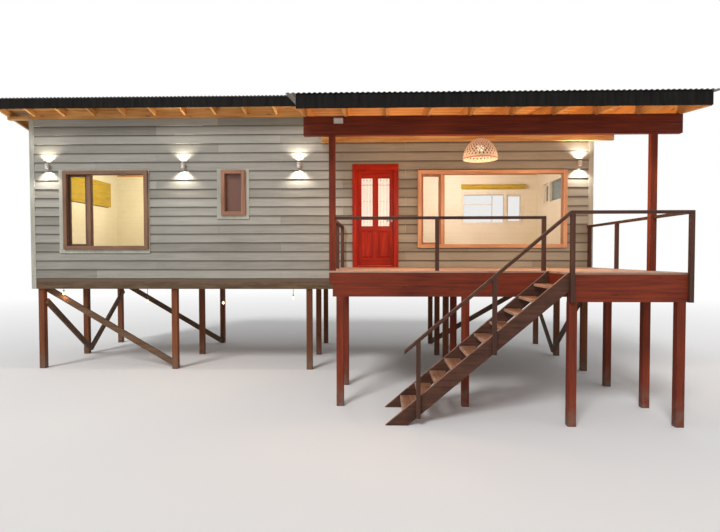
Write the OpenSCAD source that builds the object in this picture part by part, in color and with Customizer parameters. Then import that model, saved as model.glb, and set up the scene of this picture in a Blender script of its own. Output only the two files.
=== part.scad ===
// Timber house on posts, with a covered deck, a landing and an open stair.
// All lengths are in millimetres. X runs along the front, Y runs into the house, Z is up.
// The origin lies on the ground, midway between the ends of the house and between the stair's front
// rail and the back eave.

/* [House] */
// Length over the corner boards
house_l = 11730; // [11000:10:12400]
// Depth over the corner boards
house_d = 3600; // [3300:10:4200]
// Height of the floor above the ground
floor_z = 2155; // [2000:5:2400]
// Height of the rafters above the floor, at the front wall
wall_h = 3175; // [3000:5:3400]
// Thickness of a wall frame with its inner lining
wall_t = 97; // [80:1:130]
// Depth that the cladding and the corner boards take in front of the frame
clad_t = 25; // [18:1:32]
// Width of a corner board
corner_w = 100; // [70:5:140]
// Height of the skirt board below the cladding
skirt_h = 150; // [100:5:220]
// Gap left where two timbers of one frame butt
joint = 0.3; // [0.2:0.1:1]

/* [Floor frame] */
// Side of a square house post
post_s = 120; // [100:5:160]
// Number of post columns along the front
post_columns = 5; // [4:1:6]
// Distance from the left end of the bearers to the middle of the first posts
post_inset_left = 115; // [60:5:250]
// Distance from the middle of the last posts to the right end of the bearers
post_inset_right = 75; // [60:5:250]
// Height of a bearer
bearer_h = 230; // [150:5:240]
// Width of a bearer
bearer_w = 100; // [75:5:140]
// Height of a floor joist
joist_h = 200; // [150:5:240]
// Width of a floor joist
joist_w = 45; // [36:1:60]
// Distance between floor joists, about
joist_pitch = 600; // [450:10:700]
// Thickness of the floor boards
floor_t = 25; // [18:1:32]
// Thickness of the rim board behind the cladding
rim_t = 30; // [22:1:40]
// Width of a diagonal brace
brace_w = 125; // [75:5:140]
// Thickness of a diagonal brace
brace_t = 50; // [22:1:60]
// Height of a long brace's foot above the ground, on its centre line
brace_foot = 60; // [60:5:200]
// Rise of a long brace's head above the bearer's underside, on its centre line
brace_head = 30; // [0:5:60]
// Height of an end brace's foot above the ground, on its centre line
end_brace_foot = 120; // [100:5:300]
// Drop of an end brace's head below the bearer, on its centre line
end_brace_head = 260; // [220:5:360]

/* [Main roof] */
// Fall of the roof for each unit of depth
roof_slope = 0.2; // [0.12:0.01:0.26]
// Overhang of the rafters past the front and back walls
eave_out = 415; // [300:5:550]
// Overhang of the roof past the end walls
verge_out = 475; // [350:5:600]
// Width of a rafter
rafter_w = 50; // [40:1:70]
// Depth of a rafter, measured upright
rafter_h = 120; // [90:5:160]
// Distance between rafters, about
rafter_pitch = 640; // [500:10:700]
// Distance from the end of the wall frames to the middle of the first and last rafters
rafter_inset = 92; // [25:1:150]
// Height of the plate under the rafters
plate_h = 45; // [35:5:100]
// Thickness of the boards over the rafters
board_t = 20; // [15:1:28]
// Thickness of a fascia board
fascia_t = 25; // [18:1:35]
// Height of a fascia board
fascia_h = 190; // [150:5:230]
// Distance from one ripple of the roof sheet to the next
ripple = 76.2; // [60:0.2:120]
// Depth of a ripple
ripple_h = 17; // [12:1:25]
// Thickness of the roof sheet
sheet_t = 1; // [0.8:0.1:2]
// Distance that a roof sheet runs past the fascia
sheet_lip = 25; // [10:5:60]

/* [Windows] */
// Width of a window frame's members
frame_w = 75; // [50:5:100]
// Distance that a window frame stands proud of the cladding
frame_proud = 60; // [20:5:90]
// Width of a mullion
mullion_w = 80; // [45:5:100]
// Width of a sash's members
sash_w = 42; // [32:1:60]
// Thickness of a sash
sash_t = 45; // [32:1:55]
// Distance from the cladding's face back to a sash
sash_back = 30; // [10:1:50]
// Thickness of a pane
pane_t = 6; // [4:1:12]
// Clear width of a narrow opening light
light_w = 400; // [360:5:520]
// Middle of the left window, from the middle of the house
left_window_x = -4240; // [-4400:5:-4150]
// Width of the left window
left_window_w = 1790; // [1600:10:2000]
// Height of the left window
left_window_h = 1645; // [1400:5:1900]
// Height of the left window's sill above the floor
left_window_sill = 375; // [250:5:500]
// Middle of the small window
small_window_x = -1547; // [-1800:1:-1400]
// Width of the small window
small_window_w = 500; // [400:10:800]
// Height of the small window
small_window_h = 935; // [800:5:1100]
// Height of the small window's sill above the floor
small_window_sill = 1085; // [1000:5:1200]
// Middle of the big window
big_window_x = 3801; // [3700:1:3900]
// Width of the big window
big_window_w = 3040; // [2600:10:3300]
// Height of the big window
big_window_h = 1595; // [1400:5:1800]
// Height of the big window's sill above the floor
big_window_sill = 398; // [300:1:500]
// Middle of the back window
back_window_x = 4553; // [4300:1:4650]
// Width of the back window
back_window_w = 1710; // [1500:10:1900]
// Height of the back window
back_window_h = 895; // [800:5:1000]
// Height of the back window's sill above the floor
back_window_sill = 1070; // [1000:5:1150]
// Width of the high window in each end wall
end_window_w = 2400; // [1500:10:2600]
// Height of the high window in each end wall
end_window_h = 630; // [500:10:680]
// Height of the end windows' sill above the floor
end_window_sill = 1515; // [1450:5:1600]
// Radius of a rolled-up blind
blind_roll = 65; // [35:1:80]
// Thickness of the hanging blind
blind_t = 20; // [10:1:30]
// Distance that a hanging blind runs past its window at each side
blind_side = 110; // [0:5:200]
// Height of a hanging blind's top above its window
blind_head = 30; // [10:5:100]

/* [Door] */
// Middle of the door, from the middle of the house
door_x = 1410; // [1300:1:1500]
// Width of the door leaf
leaf_w = 750; // [690:1:790]
// Height of the door leaf
leaf_h = 1960; // [1900:5:2050]
// Thickness of the door leaf
leaf_t = 45; // [40:1:50]
// Running gap round the leaf
leaf_gap = 5; // [5:0.5:8]
// Thickness of a jamb
jamb_t = 45; // [35:1:55]
// Width of the casing outside the jamb
casing_w = 50; // [40:1:100]
// Height of the casing over the door
casing_head = 80; // [50:1:120]
// Distance that the casing stands proud of the cladding
casing_t = 20; // [12:1:30]
// Width of the stop that the leaf closes against
stop_w = 12; // [10:1:18]
// Height of the door sill
sill_h = 30; // [20:1:40]
// Width of the door's two panes
door_pane_w = 230; // [200:1:240]
// Height of the door's panes
door_pane_h = 990; // [850:5:1050]
// Width of the stile between the panes
mid_stile_w = 120; // [100:1:130]
// Height of the door's top rail
top_rail_h = 150; // [100:5:180]
// Height of the lock rail under the panes
lock_rail_h = 110; // [90:5:160]
// Height of the bottom rail
bottom_rail_h = 160; // [120:5:200]
// Depth of the recess round a raised panel
panel_recess = 12; // [6:1:15]
// Height of the handle above the floor
handle_z = 965; // [900:5:1050]
// Length of the lever
lever_l = 105; // [90:5:120]
// Radius of a hinge knuckle
knuckle_r = 8; // [7:0.5:9]
// Radius of a hinge pin
pin_r = 4; // [3:0.5:5]
// Height of a hinge
hinge_h = 100; // [80:5:120]

/* [Deck and landing] */
// Left edge of the deck, from the middle of the house
deck_x0 = 700; // [600:5:740]
// Right edge of the deck
deck_x1 = 5795; // [5600:5:5820]
// Depth of the deck in front of the house
deck_d = 2640; // [2400:5:2900]
// Left edge of the landing
landing_x0 = 4125; // [3950:5:4200]
// Depth of the landing in front of the deck
landing_d = 950; // [850:5:1050]
// Thickness of the deck boards
deck_t = 30; // [22:1:40]
// Height of the deck joists and their rim
deck_joist_h = 175; // [140:5:200]
// Height of the beams under the deck joists
deck_beam_h = 205; // [160:5:240]
// Thickness of the beams under the deck joists
deck_beam_w = 100; // [75:5:130]
// Side of a square deck post
deck_post_s = 115; // [90:5:150]
// Middle of the left deck posts
deck_post_left = 870; // [850:5:950]
// Middle of the middle deck posts
deck_post_mid = 2855; // [2700:5:3000]
// Middle of the right deck posts
deck_post_right = 5665; // [5600:5:5680]
// Distance of the second row of deck posts from the house
deck_row_y = 1200; // [1000:5:1400]

/* [Rails and stair] */
// Height of the rails above the deck
rail_h = 855; // [800:5:1000]
// Width of a rail and its posts
rail_w = 60; // [50:1:90]
// Thickness of a rail
rail_t = 45; // [35:1:60]
// Distance from the house to the last post of a side rail
rail_gap = 50; // [20:5:150]
// Middle of the second post of the front rail
rail_post_mid = 2404; // [2250:1:2550]
// Number of risers
risers = 11; // [10:1:12]
// Going of a tread
going = 230.5; // [220:0.5:260]
// Depth of a tread, front to back
tread_d = 240; // [235:1:255]
// Thickness of a tread
tread_t = 40; // [30:1:45]
// Depth of the groove in a stringer that holds the end of a tread
housing = 12; // [6:1:20]
// Depth of a stringer, square to its slope
stringer_h = 205; // [200:1:240]
// Thickness of a stringer
stringer_t = 50; // [40:1:60]
// Distance of the upper stair post from the landing
stair_post_high = 1030; // [950:5:1100]
// Distance of the lower stair post from the landing
stair_post_low = 2085; // [2000:5:2150]
// Distance that the sloping rail runs past its lower post
rail_tail = 195; // [100:5:240]

/* [Porch roof] */
// Left end of the porch fascia and rafters
porch_x0 = 300; // [250:5:340]
// Right end of the porch fascia and rafters
porch_x1 = 6160; // [6100:5:6200]
// Distance that the porch beam runs past the rafters at the right
porch_beam_past = 10; // [0:5:60]
// Distance that the wall ledger runs past the rafters at the right
ledger_past = 80; // [0:5:120]
// Distance that the porch sheet runs past the rafters at each end
porch_sheet_past = 150; // [60:5:180]
// Height of the top of the porch beam above the deck
porch_beam_z = 2427; // [2300:1:2500]
// Height of the porch beam
porch_beam_h = 300; // [220:5:340]
// Side of a square porch post, and thickness of the porch beam
porch_post_s = 100; // [85:5:110]
// Rise of the porch roof for each unit of depth
porch_slope = 0.11; // [0.08:0.005:0.13]
// Depth of a porch rafter, measured upright
porch_rafter_h = 195; // [120:5:220]
// Overhang of the porch rafters past the deck
porch_out = 735; // [600:5:900]
// Distance between porch rafters, about
porch_pitch = 645; // [550:5:700]
// Height of the ledger on the wall
ledger_h = 130; // [100:5:160]
// Thickness of the ledger
ledger_t = 70; // [50:5:90]
// Height of the porch fascia
porch_fascia_h = 205; // [170:5:240]

/* [Lamps] */
// Radius of the woven shade
shade_r = 312; // [250:1:350]
// Height of the woven shade
shade_h = 465; // [400:5:500]
// Thickness of the woven shade
shade_t = 8; // [5:1:12]
// Height of the shade's rim above the deck
shade_z = 1891; // [1850:1:1950]
// Distance of the shade from the house
shade_y = 1300; // [1150:5:1400]
// Distance of the shade from the rafter at its left
shade_from_rafter = 411; // [350:1:450]
// Radius of a wall lamp
wall_lamp_r = 40; // [30:1:50]
// Height of a wall lamp
wall_lamp_h = 110; // [90:5:140]
// Height of the wall lamps above the floor, to their middle
wall_lamp_z = 2115; // [2080:5:2150]
// Radius of a bare bulb under the house
bulb_r = 30; // [25:1:38]
// Width of the floodlight on the porch beam
floodlight_w = 150; // [100:5:200]
// Height of the floodlight
floodlight_h = 100; // [80:5:140]
// Distance of the floodlight's middle from the left end of the beam
floodlight_x = 555; // [400:5:700]
// Drop of the floodlight's middle below the top of the beam
floodlight_drop = 78; // [60:1:120]

/* [Hidden] */

// Faces of the house frame, behind the cladding
frame_x = house_l / 2 - clad_t;
wall_in = clad_t + wall_t;
rim_in = clad_t + rim_t;
floor_x = house_l / 2 - rim_in;

// Levels of the floor frame
joist_z = floor_z - floor_t - joist_h;
post_top = joist_z - bearer_h;

// Places of the house posts
post_first = post_inset_left - floor_x;
post_last = floor_x - post_inset_right;
post_xs = [for (i = [0 : post_columns - 1]) post_first + (post_last - post_first) * i / (post_columns - 1)];
post_ys = [rim_in + bearer_w / 2, house_d / 2, house_d - rim_in - bearer_w / 2];

// Evenly spaced places from one end to the other, about a pitch apart
function spread(first, last, pitch) =
    let (bays = round((last - first) / pitch))
    [for (i = [0 : bays]) first + (last - first) * i / bays];

// Underside of the main rafters, and of the porch rafters, at a depth
function under(y) = floor_z + wall_h - roof_slope * y;
function porch_under(y) = floor_z + porch_beam_z + porch_slope * (y + deck_d - porch_post_s);

// Main roof
verge_x = house_l / 2 + verge_out;
front_top = under(wall_in) - plate_h;
back_top = under(house_d - clad_t) - plate_h;
rafter_xs = spread(rafter_inset - frame_x, frame_x - rafter_inset, rafter_pitch);
roof_back = house_d + eave_out;

// Porch roof
porch_front = -deck_d - porch_out;
porch_rafter_xs = spread(porch_x0 + rafter_w / 2, porch_x1 - rafter_w / 2, porch_pitch);
ledger_top = porch_under(0);
porch_beam_top = floor_z + porch_beam_z;

// Everything is drawn from the front wall's outer face and then moved, so that the origin is
// midway between the front-most and the back-most edge
back_edge = roof_back + fascia_t + sheet_lip + ripple_h * sin(atan(roof_slope));
porch_edge = porch_front - fascia_t - sheet_lip - ripple_h * sin(atan(porch_slope));
front_edge = min(porch_edge, -deck_d - landing_d - rail_w);
front_y = -(back_edge + front_edge) / 2;

// Door
leaf_z = floor_z + sill_h + leaf_gap;
opening_w = leaf_w + 2 * leaf_gap;
opening_top = leaf_z + leaf_h + leaf_gap;
jamb_x0 = door_x - opening_w / 2 - jamb_t;
jamb_x1 = door_x + opening_w / 2 + jamb_t;
leaf_x0 = door_x - leaf_w / 2;
leaf_y = wall_in - leaf_t;
outer_stile_w = (leaf_w - mid_stile_w) / 2 - door_pane_w;
panel_z0 = bottom_rail_h;
panel_z1 = leaf_h - top_rail_h - door_pane_h - lock_rail_h;
panel_low = 3;
hinge_x = leaf_x0 - leaf_gap / 2;
hinge_y = wall_in + knuckle_r;
hinge_end = 150;
hinge_zs = [hinge_end, leaf_h / 2 - hinge_h / 2, leaf_h - hinge_end - hinge_h];
hinge_plate_t = 2;
hinge_plate_w = 32;

// Deck and landing
deck_z = floor_z - deck_t;
deck_joist_z = deck_z - deck_joist_h;
deck_beam_z = deck_joist_z - deck_beam_h;
landing_y = -deck_d - landing_d;
deck_beam_inset = 55;

// Stair: the nosing line runs up through the front of every tread
rise = floor_z / risers;
stair_foot = landing_x0 - risers * going;
stair_slope = rise / going;
nosing_margin = 8;
slope_angle = atan(stair_slope);
function nosing_z(x) = stair_slope * (x - stair_foot);

// Rails
rail_under = floor_z + rail_h - rail_t;
front_rail_end = landing_x0 - rail_w / 2 - stringer_t / 2;
side_rail_ys = [-deck_d / 2, -rail_w / 2 - rail_gap];

// Lamps
wall_lamp_xs = [-5457, -2587, -174, 5567];
ground_lamps_at = [[-5238, 1600], [-3430, 1430], [-1809, 1400], [-323, 1510]];
lamp_cap_r = 14;
lamp_cap_h = 70;
lamp_tube_r = 5;
shade_x = porch_rafter_xs[4] + shade_from_rafter;
cup_r = 50;
cup_h = 40;
stem_r = 8;
holder_r = 22;
holder_h = 120;
pendant_bulb_r = 60;
pendant_bulb_drop = 170;

// Distance that a cutter runs past the face it cuts
cut = 1;

// Draws its children at the place of the front wall
module on_site() {
    translate([0, front_y, 0]) children();
}

// A squared block between two opposite corners
module block(lo, hi) {
    translate(lo) cube(hi - lo);
}

// A flat outline in Y and Z, drawn out along X
module along_x(x0, x1) {
    translate([x0, 0, 0]) rotate([90, 0, 90]) linear_extrude(x1 - x0) children();
}

// A flat outline in X and Z, drawn out along Y
module along_y(y0, y1) {
    translate([0, y1, 0]) rotate([90, 0, 0]) linear_extrude(y1 - y0) children();
}

// The corners of a straight board from p to q
function board(p, q, w) =
    let (run = (q - p) / norm(q - p), side = [-run[1], run[0]] * w / 2)
    [p + side, q + side, q - side, p - side];

// Posts and floor frame

module house_posts() {
    color("sienna") on_site()
    for (x = post_xs, y = post_ys)
        block([x - post_s / 2, y - post_s / 2, 0], [x + post_s / 2, y + post_s / 2, post_top]);
}

// A long brace in the plane of a row, from the head of one post down to the foot of the next
module row_brace(y, head_x, foot_x) {
    along_y(y, y + brace_t)
        polygon(board([head_x, post_top + brace_head], [foot_x, brace_foot], brace_w));
}

// One leg of the V at an end of the house, cut off on the middle post's centre line
module end_brace(x, from_y) {
    half = house_d / 2;
    side = from_y < half ? -1 : 1;
    along_x(x, x + brace_t)
    intersection() {
        polygon(board([from_y, post_top - end_brace_head], [half, end_brace_foot], brace_w));
        translate([half + side * (half + joint) - half, 0]) square([2 * half, post_top]);
    }
}

module post_braces() {
    inner = post_s / 2;
    back_y = post_ys[2] - inner - brace_t;
    color("saddlebrown") on_site() {
        row_brace(post_ys[0] + inner, post_xs[0], post_xs[1]);
        row_brace(back_y, post_xs[0], post_xs[1]);
        row_brace(back_y, post_xs[post_columns - 1], post_xs[post_columns - 2]);
        for (y = [post_ys[0], post_ys[2]]) {
            end_brace(post_xs[0] + inner, y);
            end_brace(post_last - inner - brace_t, y);
        }
    }
}

module floor_bearers() {
    color("sienna") on_site()
    for (y = post_ys)
        block([-floor_x, y - bearer_w / 2, post_top], [floor_x, y + bearer_w / 2, joist_z]);
}

module floor_joists() {
    color("peru") on_site()
    for (x = spread(joist_w / 2 - floor_x, floor_x - joist_w / 2, joist_pitch))
        block([x - joist_w / 2, rim_in, joist_z], [x + joist_w / 2, house_d - rim_in, joist_z + joist_h]);
}

module house_floor() {
    color("burlywood") on_site()
    block([-frame_x, clad_t, floor_z - floor_t], [frame_x, house_d - clad_t, floor_z]);
}

// Rim boards, each with a thicker skirt at its foot that shows below the cladding
module skirt_boards() {
    side_x = house_l / 2;
    color("gray") on_site() {
        for (back = [0, 1])
        translate([0, back * house_d, 0]) mirror([0, back, 0]) {
            block([-frame_x, clad_t, post_top], [frame_x, rim_in, floor_z - floor_t]);
            block([corner_w - side_x, 0, post_top], [side_x - corner_w, clad_t, post_top + skirt_h]);
        }
        for (right = [0, 1])
        mirror([right, 0, 0]) {
            block([-frame_x, rim_in + joint, post_top],
                [-floor_x, house_d - rim_in - joint, floor_z - floor_t]);
            block([-side_x, corner_w, post_top], [-frame_x, house_d - corner_w, post_top + skirt_h]);
        }
    }
}

// Walls

module wall_hole(x, w, z, h) {
    translate([x - w / 2, -clad_t, floor_z + z]) cube([w, wall_in + 2 * clad_t, h]);
}

module front_wall_left() {
    color("darkseagreen") on_site()
    difference() {
        block([-frame_x, clad_t, floor_z], [jamb_x0, wall_in, front_top]);
        wall_hole(left_window_x, left_window_w, left_window_sill, left_window_h);
        wall_hole(small_window_x, small_window_w, small_window_sill, small_window_h);
    }
}

module front_wall_right() {
    color("darkseagreen") on_site()
    difference() {
        block([jamb_x1, clad_t, floor_z], [frame_x, wall_in, front_top]);
        wall_hole(big_window_x, big_window_w, big_window_sill, big_window_h);
    }
}

module front_wall_over_door() {
    color("darkseagreen") on_site()
    block([jamb_x0, clad_t, opening_top + jamb_t], [jamb_x1, wall_in, front_top]);
}

module end_wall() {
    y1 = house_d - wall_in;
    difference() {
        along_x(-frame_x, wall_t - frame_x)
            polygon([[wall_in, floor_z], [y1, floor_z], [y1, under(y1)], [wall_in, under(wall_in)]]);
        translate([-house_l / 2, (house_d - end_window_w) / 2, floor_z + end_window_sill])
            cube([2 * wall_in, end_window_w, end_window_h]);
    }
}

module left_wall() {
    color("darkseagreen") on_site() end_wall();
}

module right_wall() {
    color("darkseagreen") on_site() mirror([1, 0, 0]) end_wall();
}

module back_wall() {
    color("darkseagreen") on_site()
    difference() {
        block([-frame_x, house_d - wall_in, floor_z], [frame_x, house_d - clad_t, back_top]);
        translate([0, house_d - wall_in, 0])
            wall_hole(back_window_x, back_window_w, back_window_sill, back_window_h);
    }
}

module corner_board(top) {
    translate([-house_l / 2, 0, post_top]) linear_extrude(top - post_top)
        polygon([[0, 0], [corner_w, 0], [corner_w, clad_t], [clad_t, clad_t], [clad_t, corner_w],
            [0, corner_w]]);
}

module corner_boards() {
    color("lightgray") on_site()
    for (right = [0, 1])
    mirror([right, 0, 0]) {
        corner_board(front_top);
        translate([0, house_d, 0]) mirror([0, 1, 0]) corner_board(back_top);
    }
}

// Main roof

// An outline that follows a roof's slope from depth y0 to y1, between two heights above the
// rafters' underside
function raked(y0, y1, lo, hi) =
    [[y0, under(y0) + lo], [y1, under(y1) + lo], [y1, under(y1) + hi], [y0, under(y0) + hi]];

// The plate under the rafters, with the blocks that close the gaps between them
module wall_plate(y0, y1, foot, block_y) {
    half = rafter_w / 2 + joint;
    stops = concat([-frame_x - half], rafter_xs, [frame_x + half]);
    along_x(-verge_x, verge_x)
        polygon([[y0, foot], [y1, foot], [y1, under(y1)], [y0, under(y0)]]);
    for (i = [1 : len(stops) - 1])
        along_x(stops[i - 1] + half, stops[i] - half)
            polygon(raked(block_y, block_y + rim_t, 0, rafter_h));
}

module wall_plates() {
    color("sandybrown") on_site() {
        wall_plate(clad_t, wall_in, front_top, clad_t);
        wall_plate(house_d - wall_in, house_d - clad_t, back_top, house_d - clad_t - rim_t);
    }
}

module main_rafters() {
    ends = [rafter_w / 2 - verge_x, verge_x - rafter_w / 2];
    color("sandybrown") on_site()
    for (x = concat(rafter_xs, ends))
        along_x(x - rafter_w / 2, x + rafter_w / 2) polygon(raked(-eave_out, roof_back, 0, rafter_h));
}

module main_roof_boards() {
    color("peru") on_site()
    along_x(-verge_x, verge_x) polygon(raked(-eave_out, roof_back, rafter_h, rafter_h + board_t));
}

// A rippled sheet from x0 to about x1 and of a length, lying on z = 0
module rippled_sheet(x0, x1, length) {
    count = round((x1 - x0) / ripple);
    start = (x0 + x1 - count * ripple) / 2;
    flat = 0.15;
    steps = [[flat, 0], [0.5 - flat, ripple_h - sheet_t], [0.5 + flat, ripple_h - sheet_t], [1 - flat, 0]];
    low = [for (i = [0 : count - 1], s = steps) [start + (i + s[0]) * ripple, s[1]]];
    high = [for (i = [len(low) - 1 : -1 : 0]) low[i] + [0, sheet_t]];
    along_y(0, length) polygon(concat(low, high));
}

module main_roof_sheet() {
    y0 = -eave_out - fascia_t - sheet_lip;
    length = (roof_back + fascia_t + sheet_lip - y0) / cos(atan(roof_slope));
    color("dimgray") on_site()
    translate([0, y0, under(y0) + rafter_h + board_t + joint]) rotate([-atan(roof_slope), 0, 0])
        rippled_sheet(-verge_x - sheet_lip, verge_x + sheet_lip, length);
}

module main_fascia() {
    front = under(-eave_out) + rafter_h + board_t;
    back = under(roof_back + fascia_t) + rafter_h + board_t;
    color("black") on_site() {
        block([-verge_x, -eave_out - fascia_t, front - fascia_h], [verge_x, -eave_out, front]);
        block([-verge_x, roof_back, back - fascia_h], [verge_x, roof_back + fascia_t, back]);
    }
}

// Windows: each is drawn in its own wall's place, seen from outside, from its lower left corner

module in_front_wall(x, w, sill) {
    translate([x - w / 2, 0, floor_z + sill]) children();
}

module in_back_wall() {
    translate([back_window_x + back_window_w / 2, house_d, floor_z + back_window_sill])
        rotate([0, 0, 180]) children();
}

module in_left_wall() {
    translate([-house_l / 2, (house_d + end_window_w) / 2, floor_z + end_window_sill])
        rotate([0, 0, -90]) children();
}

module in_end_walls() {
    in_left_wall() children();
    mirror([1, 0, 0]) in_left_wall() children();
}

// Four members butted into a frame
module members(w, h, size, y0, y1) {
    block([0, y0, 0], [size, y1, h]);
    block([w - size, y0, 0], [w, y1, h]);
    block([size + joint, y0, 0], [w - size - joint, y1, size]);
    block([size + joint, y0, h - size], [w - size - joint, y1, h]);
}

module window_frame(w, h, split) {
    members(w, h, frame_w, -frame_proud, wall_in);
    if (split)
        block([frame_w + light_w, 0, frame_w + joint],
            [frame_w + light_w + mullion_w, wall_in, h - frame_w - joint]);
}

// The sash of a split window's opening light, at its left
module window_sash(h) {
    translate([frame_w, 0, frame_w])
        members(light_w, h - 2 * frame_w, sash_w, sash_back, sash_back + sash_t);
}

// The fixed pane, and in a split window the one in the sash as well
module window_panes(w, h, split) {
    pane_y = sash_back + (sash_t - pane_t) / 2;
    edge = frame_w + sash_w;
    fixed_x = split ? frame_w + light_w + mullion_w : frame_w;
    if (split)
        block([edge, pane_y, edge], [frame_w + light_w - sash_w, pane_y + pane_t, h - edge]);
    block([fixed_x, pane_y, frame_w], [w - frame_w, pane_y + pane_t, h - frame_w]);
}

module left_window_frame() {
    color("rosybrown") on_site() in_front_wall(left_window_x, left_window_w, left_window_sill)
        window_frame(left_window_w, left_window_h, true);
}

module small_window_frame() {
    color("rosybrown") on_site() in_front_wall(small_window_x, small_window_w, small_window_sill)
        window_frame(small_window_w, small_window_h, false);
}

module big_window_frame() {
    color("rosybrown") on_site() in_front_wall(big_window_x, big_window_w, big_window_sill)
        window_frame(big_window_w, big_window_h, true);
}

module rear_window_frames() {
    color("rosybrown") on_site() {
        in_back_wall() window_frame(back_window_w, back_window_h, true);
        in_end_walls() window_frame(end_window_w, end_window_h, true);
    }
}

module window_sashes() {
    color("maroon") on_site() {
        in_front_wall(left_window_x, left_window_w, left_window_sill) window_sash(left_window_h);
        in_front_wall(big_window_x, big_window_w, big_window_sill) window_sash(big_window_h);
        in_back_wall() window_sash(back_window_h);
        in_end_walls() window_sash(end_window_h);
    }
}

module window_glass() {
    color("lightyellow") on_site() {
        in_front_wall(left_window_x, left_window_w, left_window_sill)
            window_panes(left_window_w, left_window_h, true);
        in_front_wall(small_window_x, small_window_w, small_window_sill)
            window_panes(small_window_w, small_window_h, false);
        in_front_wall(big_window_x, big_window_w, big_window_sill)
            window_panes(big_window_w, big_window_h, true);
        in_back_wall() window_panes(back_window_w, back_window_h, true);
        in_end_walls() window_panes(end_window_w, end_window_h, true);
    }
}

// A rolled blind over the back window and a hanging one inside the left end window
module window_blinds() {
    roll_z = floor_z + back_window_sill + back_window_h + 2 * blind_roll;
    blind_top = floor_z + end_window_sill + end_window_h + blind_head;
    blind_w = end_window_w + 2 * blind_side;
    blind_x = wall_t - frame_x;
    color("goldenrod") on_site() {
        translate([back_window_x - back_window_w / 2, house_d - wall_in - blind_roll, roll_z])
            rotate([0, 90, 0]) cylinder(r = blind_roll, h = back_window_w, $fn = 32);
        block([blind_x, (house_d - blind_w) / 2, blind_top - end_window_h],
            [blind_x + blind_t, (house_d + blind_w) / 2, blind_top]);
    }
}

// Door

module door_frame() {
    stop_y = leaf_y - leaf_gap;
    casing_top = opening_top + jamb_t + casing_head;
    color("firebrick") on_site() {
        for (right = [0, 1])
        translate([door_x, 0, 0]) mirror([right, 0, 0]) {
            block([-opening_w / 2 - jamb_t, 0, floor_z], [-opening_w / 2, wall_in, opening_top]);
            block([-opening_w / 2, stop_y - 2 * stop_w, floor_z + sill_h + joint],
                [stop_w - opening_w / 2, stop_y, opening_top - stop_w - joint]);
            block([-opening_w / 2 - jamb_t - casing_w, -casing_t, floor_z], [-opening_w / 2, 0, opening_top]);
        }
        block([jamb_x0, 0, opening_top + joint], [jamb_x1, wall_in, opening_top + jamb_t]);
        block([door_x - opening_w / 2 + joint, stop_y - 2 * stop_w, opening_top - stop_w],
            [door_x + opening_w / 2 - joint, stop_y, opening_top + joint]);
        block([jamb_x0 - casing_w, -casing_t, opening_top + joint], [jamb_x1 + casing_w, 0, casing_top]);
        block([door_x - opening_w / 2 + joint, -casing_t, floor_z],
            [door_x + opening_w / 2 - joint, wall_in, floor_z + sill_h]);
    }
}

// A panel with a raised middle: two bevelled sections crossed
module raised_panel(w, h, rise_t) {
    bevel = 35;
    intersection() {
        linear_extrude(h) polygon([[0, 0], [w, 0], [w - bevel, -rise_t], [bevel, -rise_t]]);
        rotate([90, 0, 90]) linear_extrude(w)
            polygon([[0, 0], [0, h], [-rise_t, h - bevel], [-rise_t, bevel]]);
    }
}

module door_leaf() {
    panel_h = panel_z1 - panel_z0;
    field_t = panel_recess - panel_low;
    color("firebrick") on_site() translate([leaf_x0, leaf_y, leaf_z]) {
        difference() {
            cube([leaf_w, leaf_t, leaf_h]);
            for (x = [outer_stile_w, outer_stile_w + door_pane_w + mid_stile_w]) {
                block([x, -cut, leaf_h - top_rail_h - door_pane_h],
                    [x + door_pane_w, leaf_t + cut, leaf_h - top_rail_h]);
                block([x, -cut, panel_z0], [x + door_pane_w, panel_recess, panel_z1]);
                block([x, leaf_t - panel_recess, panel_z0], [x + door_pane_w, leaf_t + cut, panel_z1]);
            }
        }
        for (x = [outer_stile_w, outer_stile_w + door_pane_w + mid_stile_w]) {
            translate([x, panel_recess, panel_z0]) raised_panel(door_pane_w, panel_h, field_t);
            translate([x, leaf_t - panel_recess, panel_z0])
                mirror([0, 1, 0]) raised_panel(door_pane_w, panel_h, field_t);
        }
    }
}

module door_glass() {
    pane_y = leaf_y + (leaf_t - pane_t) / 2;
    z = leaf_z + leaf_h - top_rail_h - door_pane_h;
    color("azure") on_site()
    for (x = [outer_stile_w, outer_stile_w + door_pane_w + mid_stile_w])
        block([leaf_x0 + x, pane_y, z], [leaf_x0 + x + door_pane_w, pane_y + pane_t, z + door_pane_h]);
}

// A lever on a round rose, on each face of the leaf
module door_handle() {
    rose_r = 24;
    rose_t = 8;
    stand = 45;
    lever_r = 8;
    x = leaf_x0 + leaf_w - outer_stile_w / 2;
    color("silver") on_site() translate([x, leaf_y + leaf_t / 2, floor_z + handle_z])
    for (inside = [0, 1])
    mirror([0, inside, 0]) translate([0, -leaf_t / 2, 0]) {
        rotate([90, 0, 0]) cylinder(r = rose_r, h = rose_t, $fn = 48);
        rotate([90, 0, 0]) cylinder(r = lever_r, h = stand, $fn = 32);
        translate([-lever_l, -stand, 0]) rotate([0, 90, 0])
            cylinder(r = lever_r, h = lever_l + lever_r, $fn = 32);
    }
}

// The jamb's halves of the three hinges, each with its pin
module jamb_hinges() {
    color("silver") on_site() translate([hinge_x, hinge_y, leaf_z])
    for (z = hinge_zs) {
        translate([0, 0, z]) cylinder(r = knuckle_r, h = hinge_h / 2 - joint, $fn = 32);
        translate([0, 0, z]) cylinder(r = pin_r - joint, h = hinge_h, $fn = 32);
        block([-leaf_gap / 2, -knuckle_r - hinge_plate_w, z],
            [hinge_plate_t - leaf_gap / 2, 0, z + hinge_h / 2 - joint]);
    }
}

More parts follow.
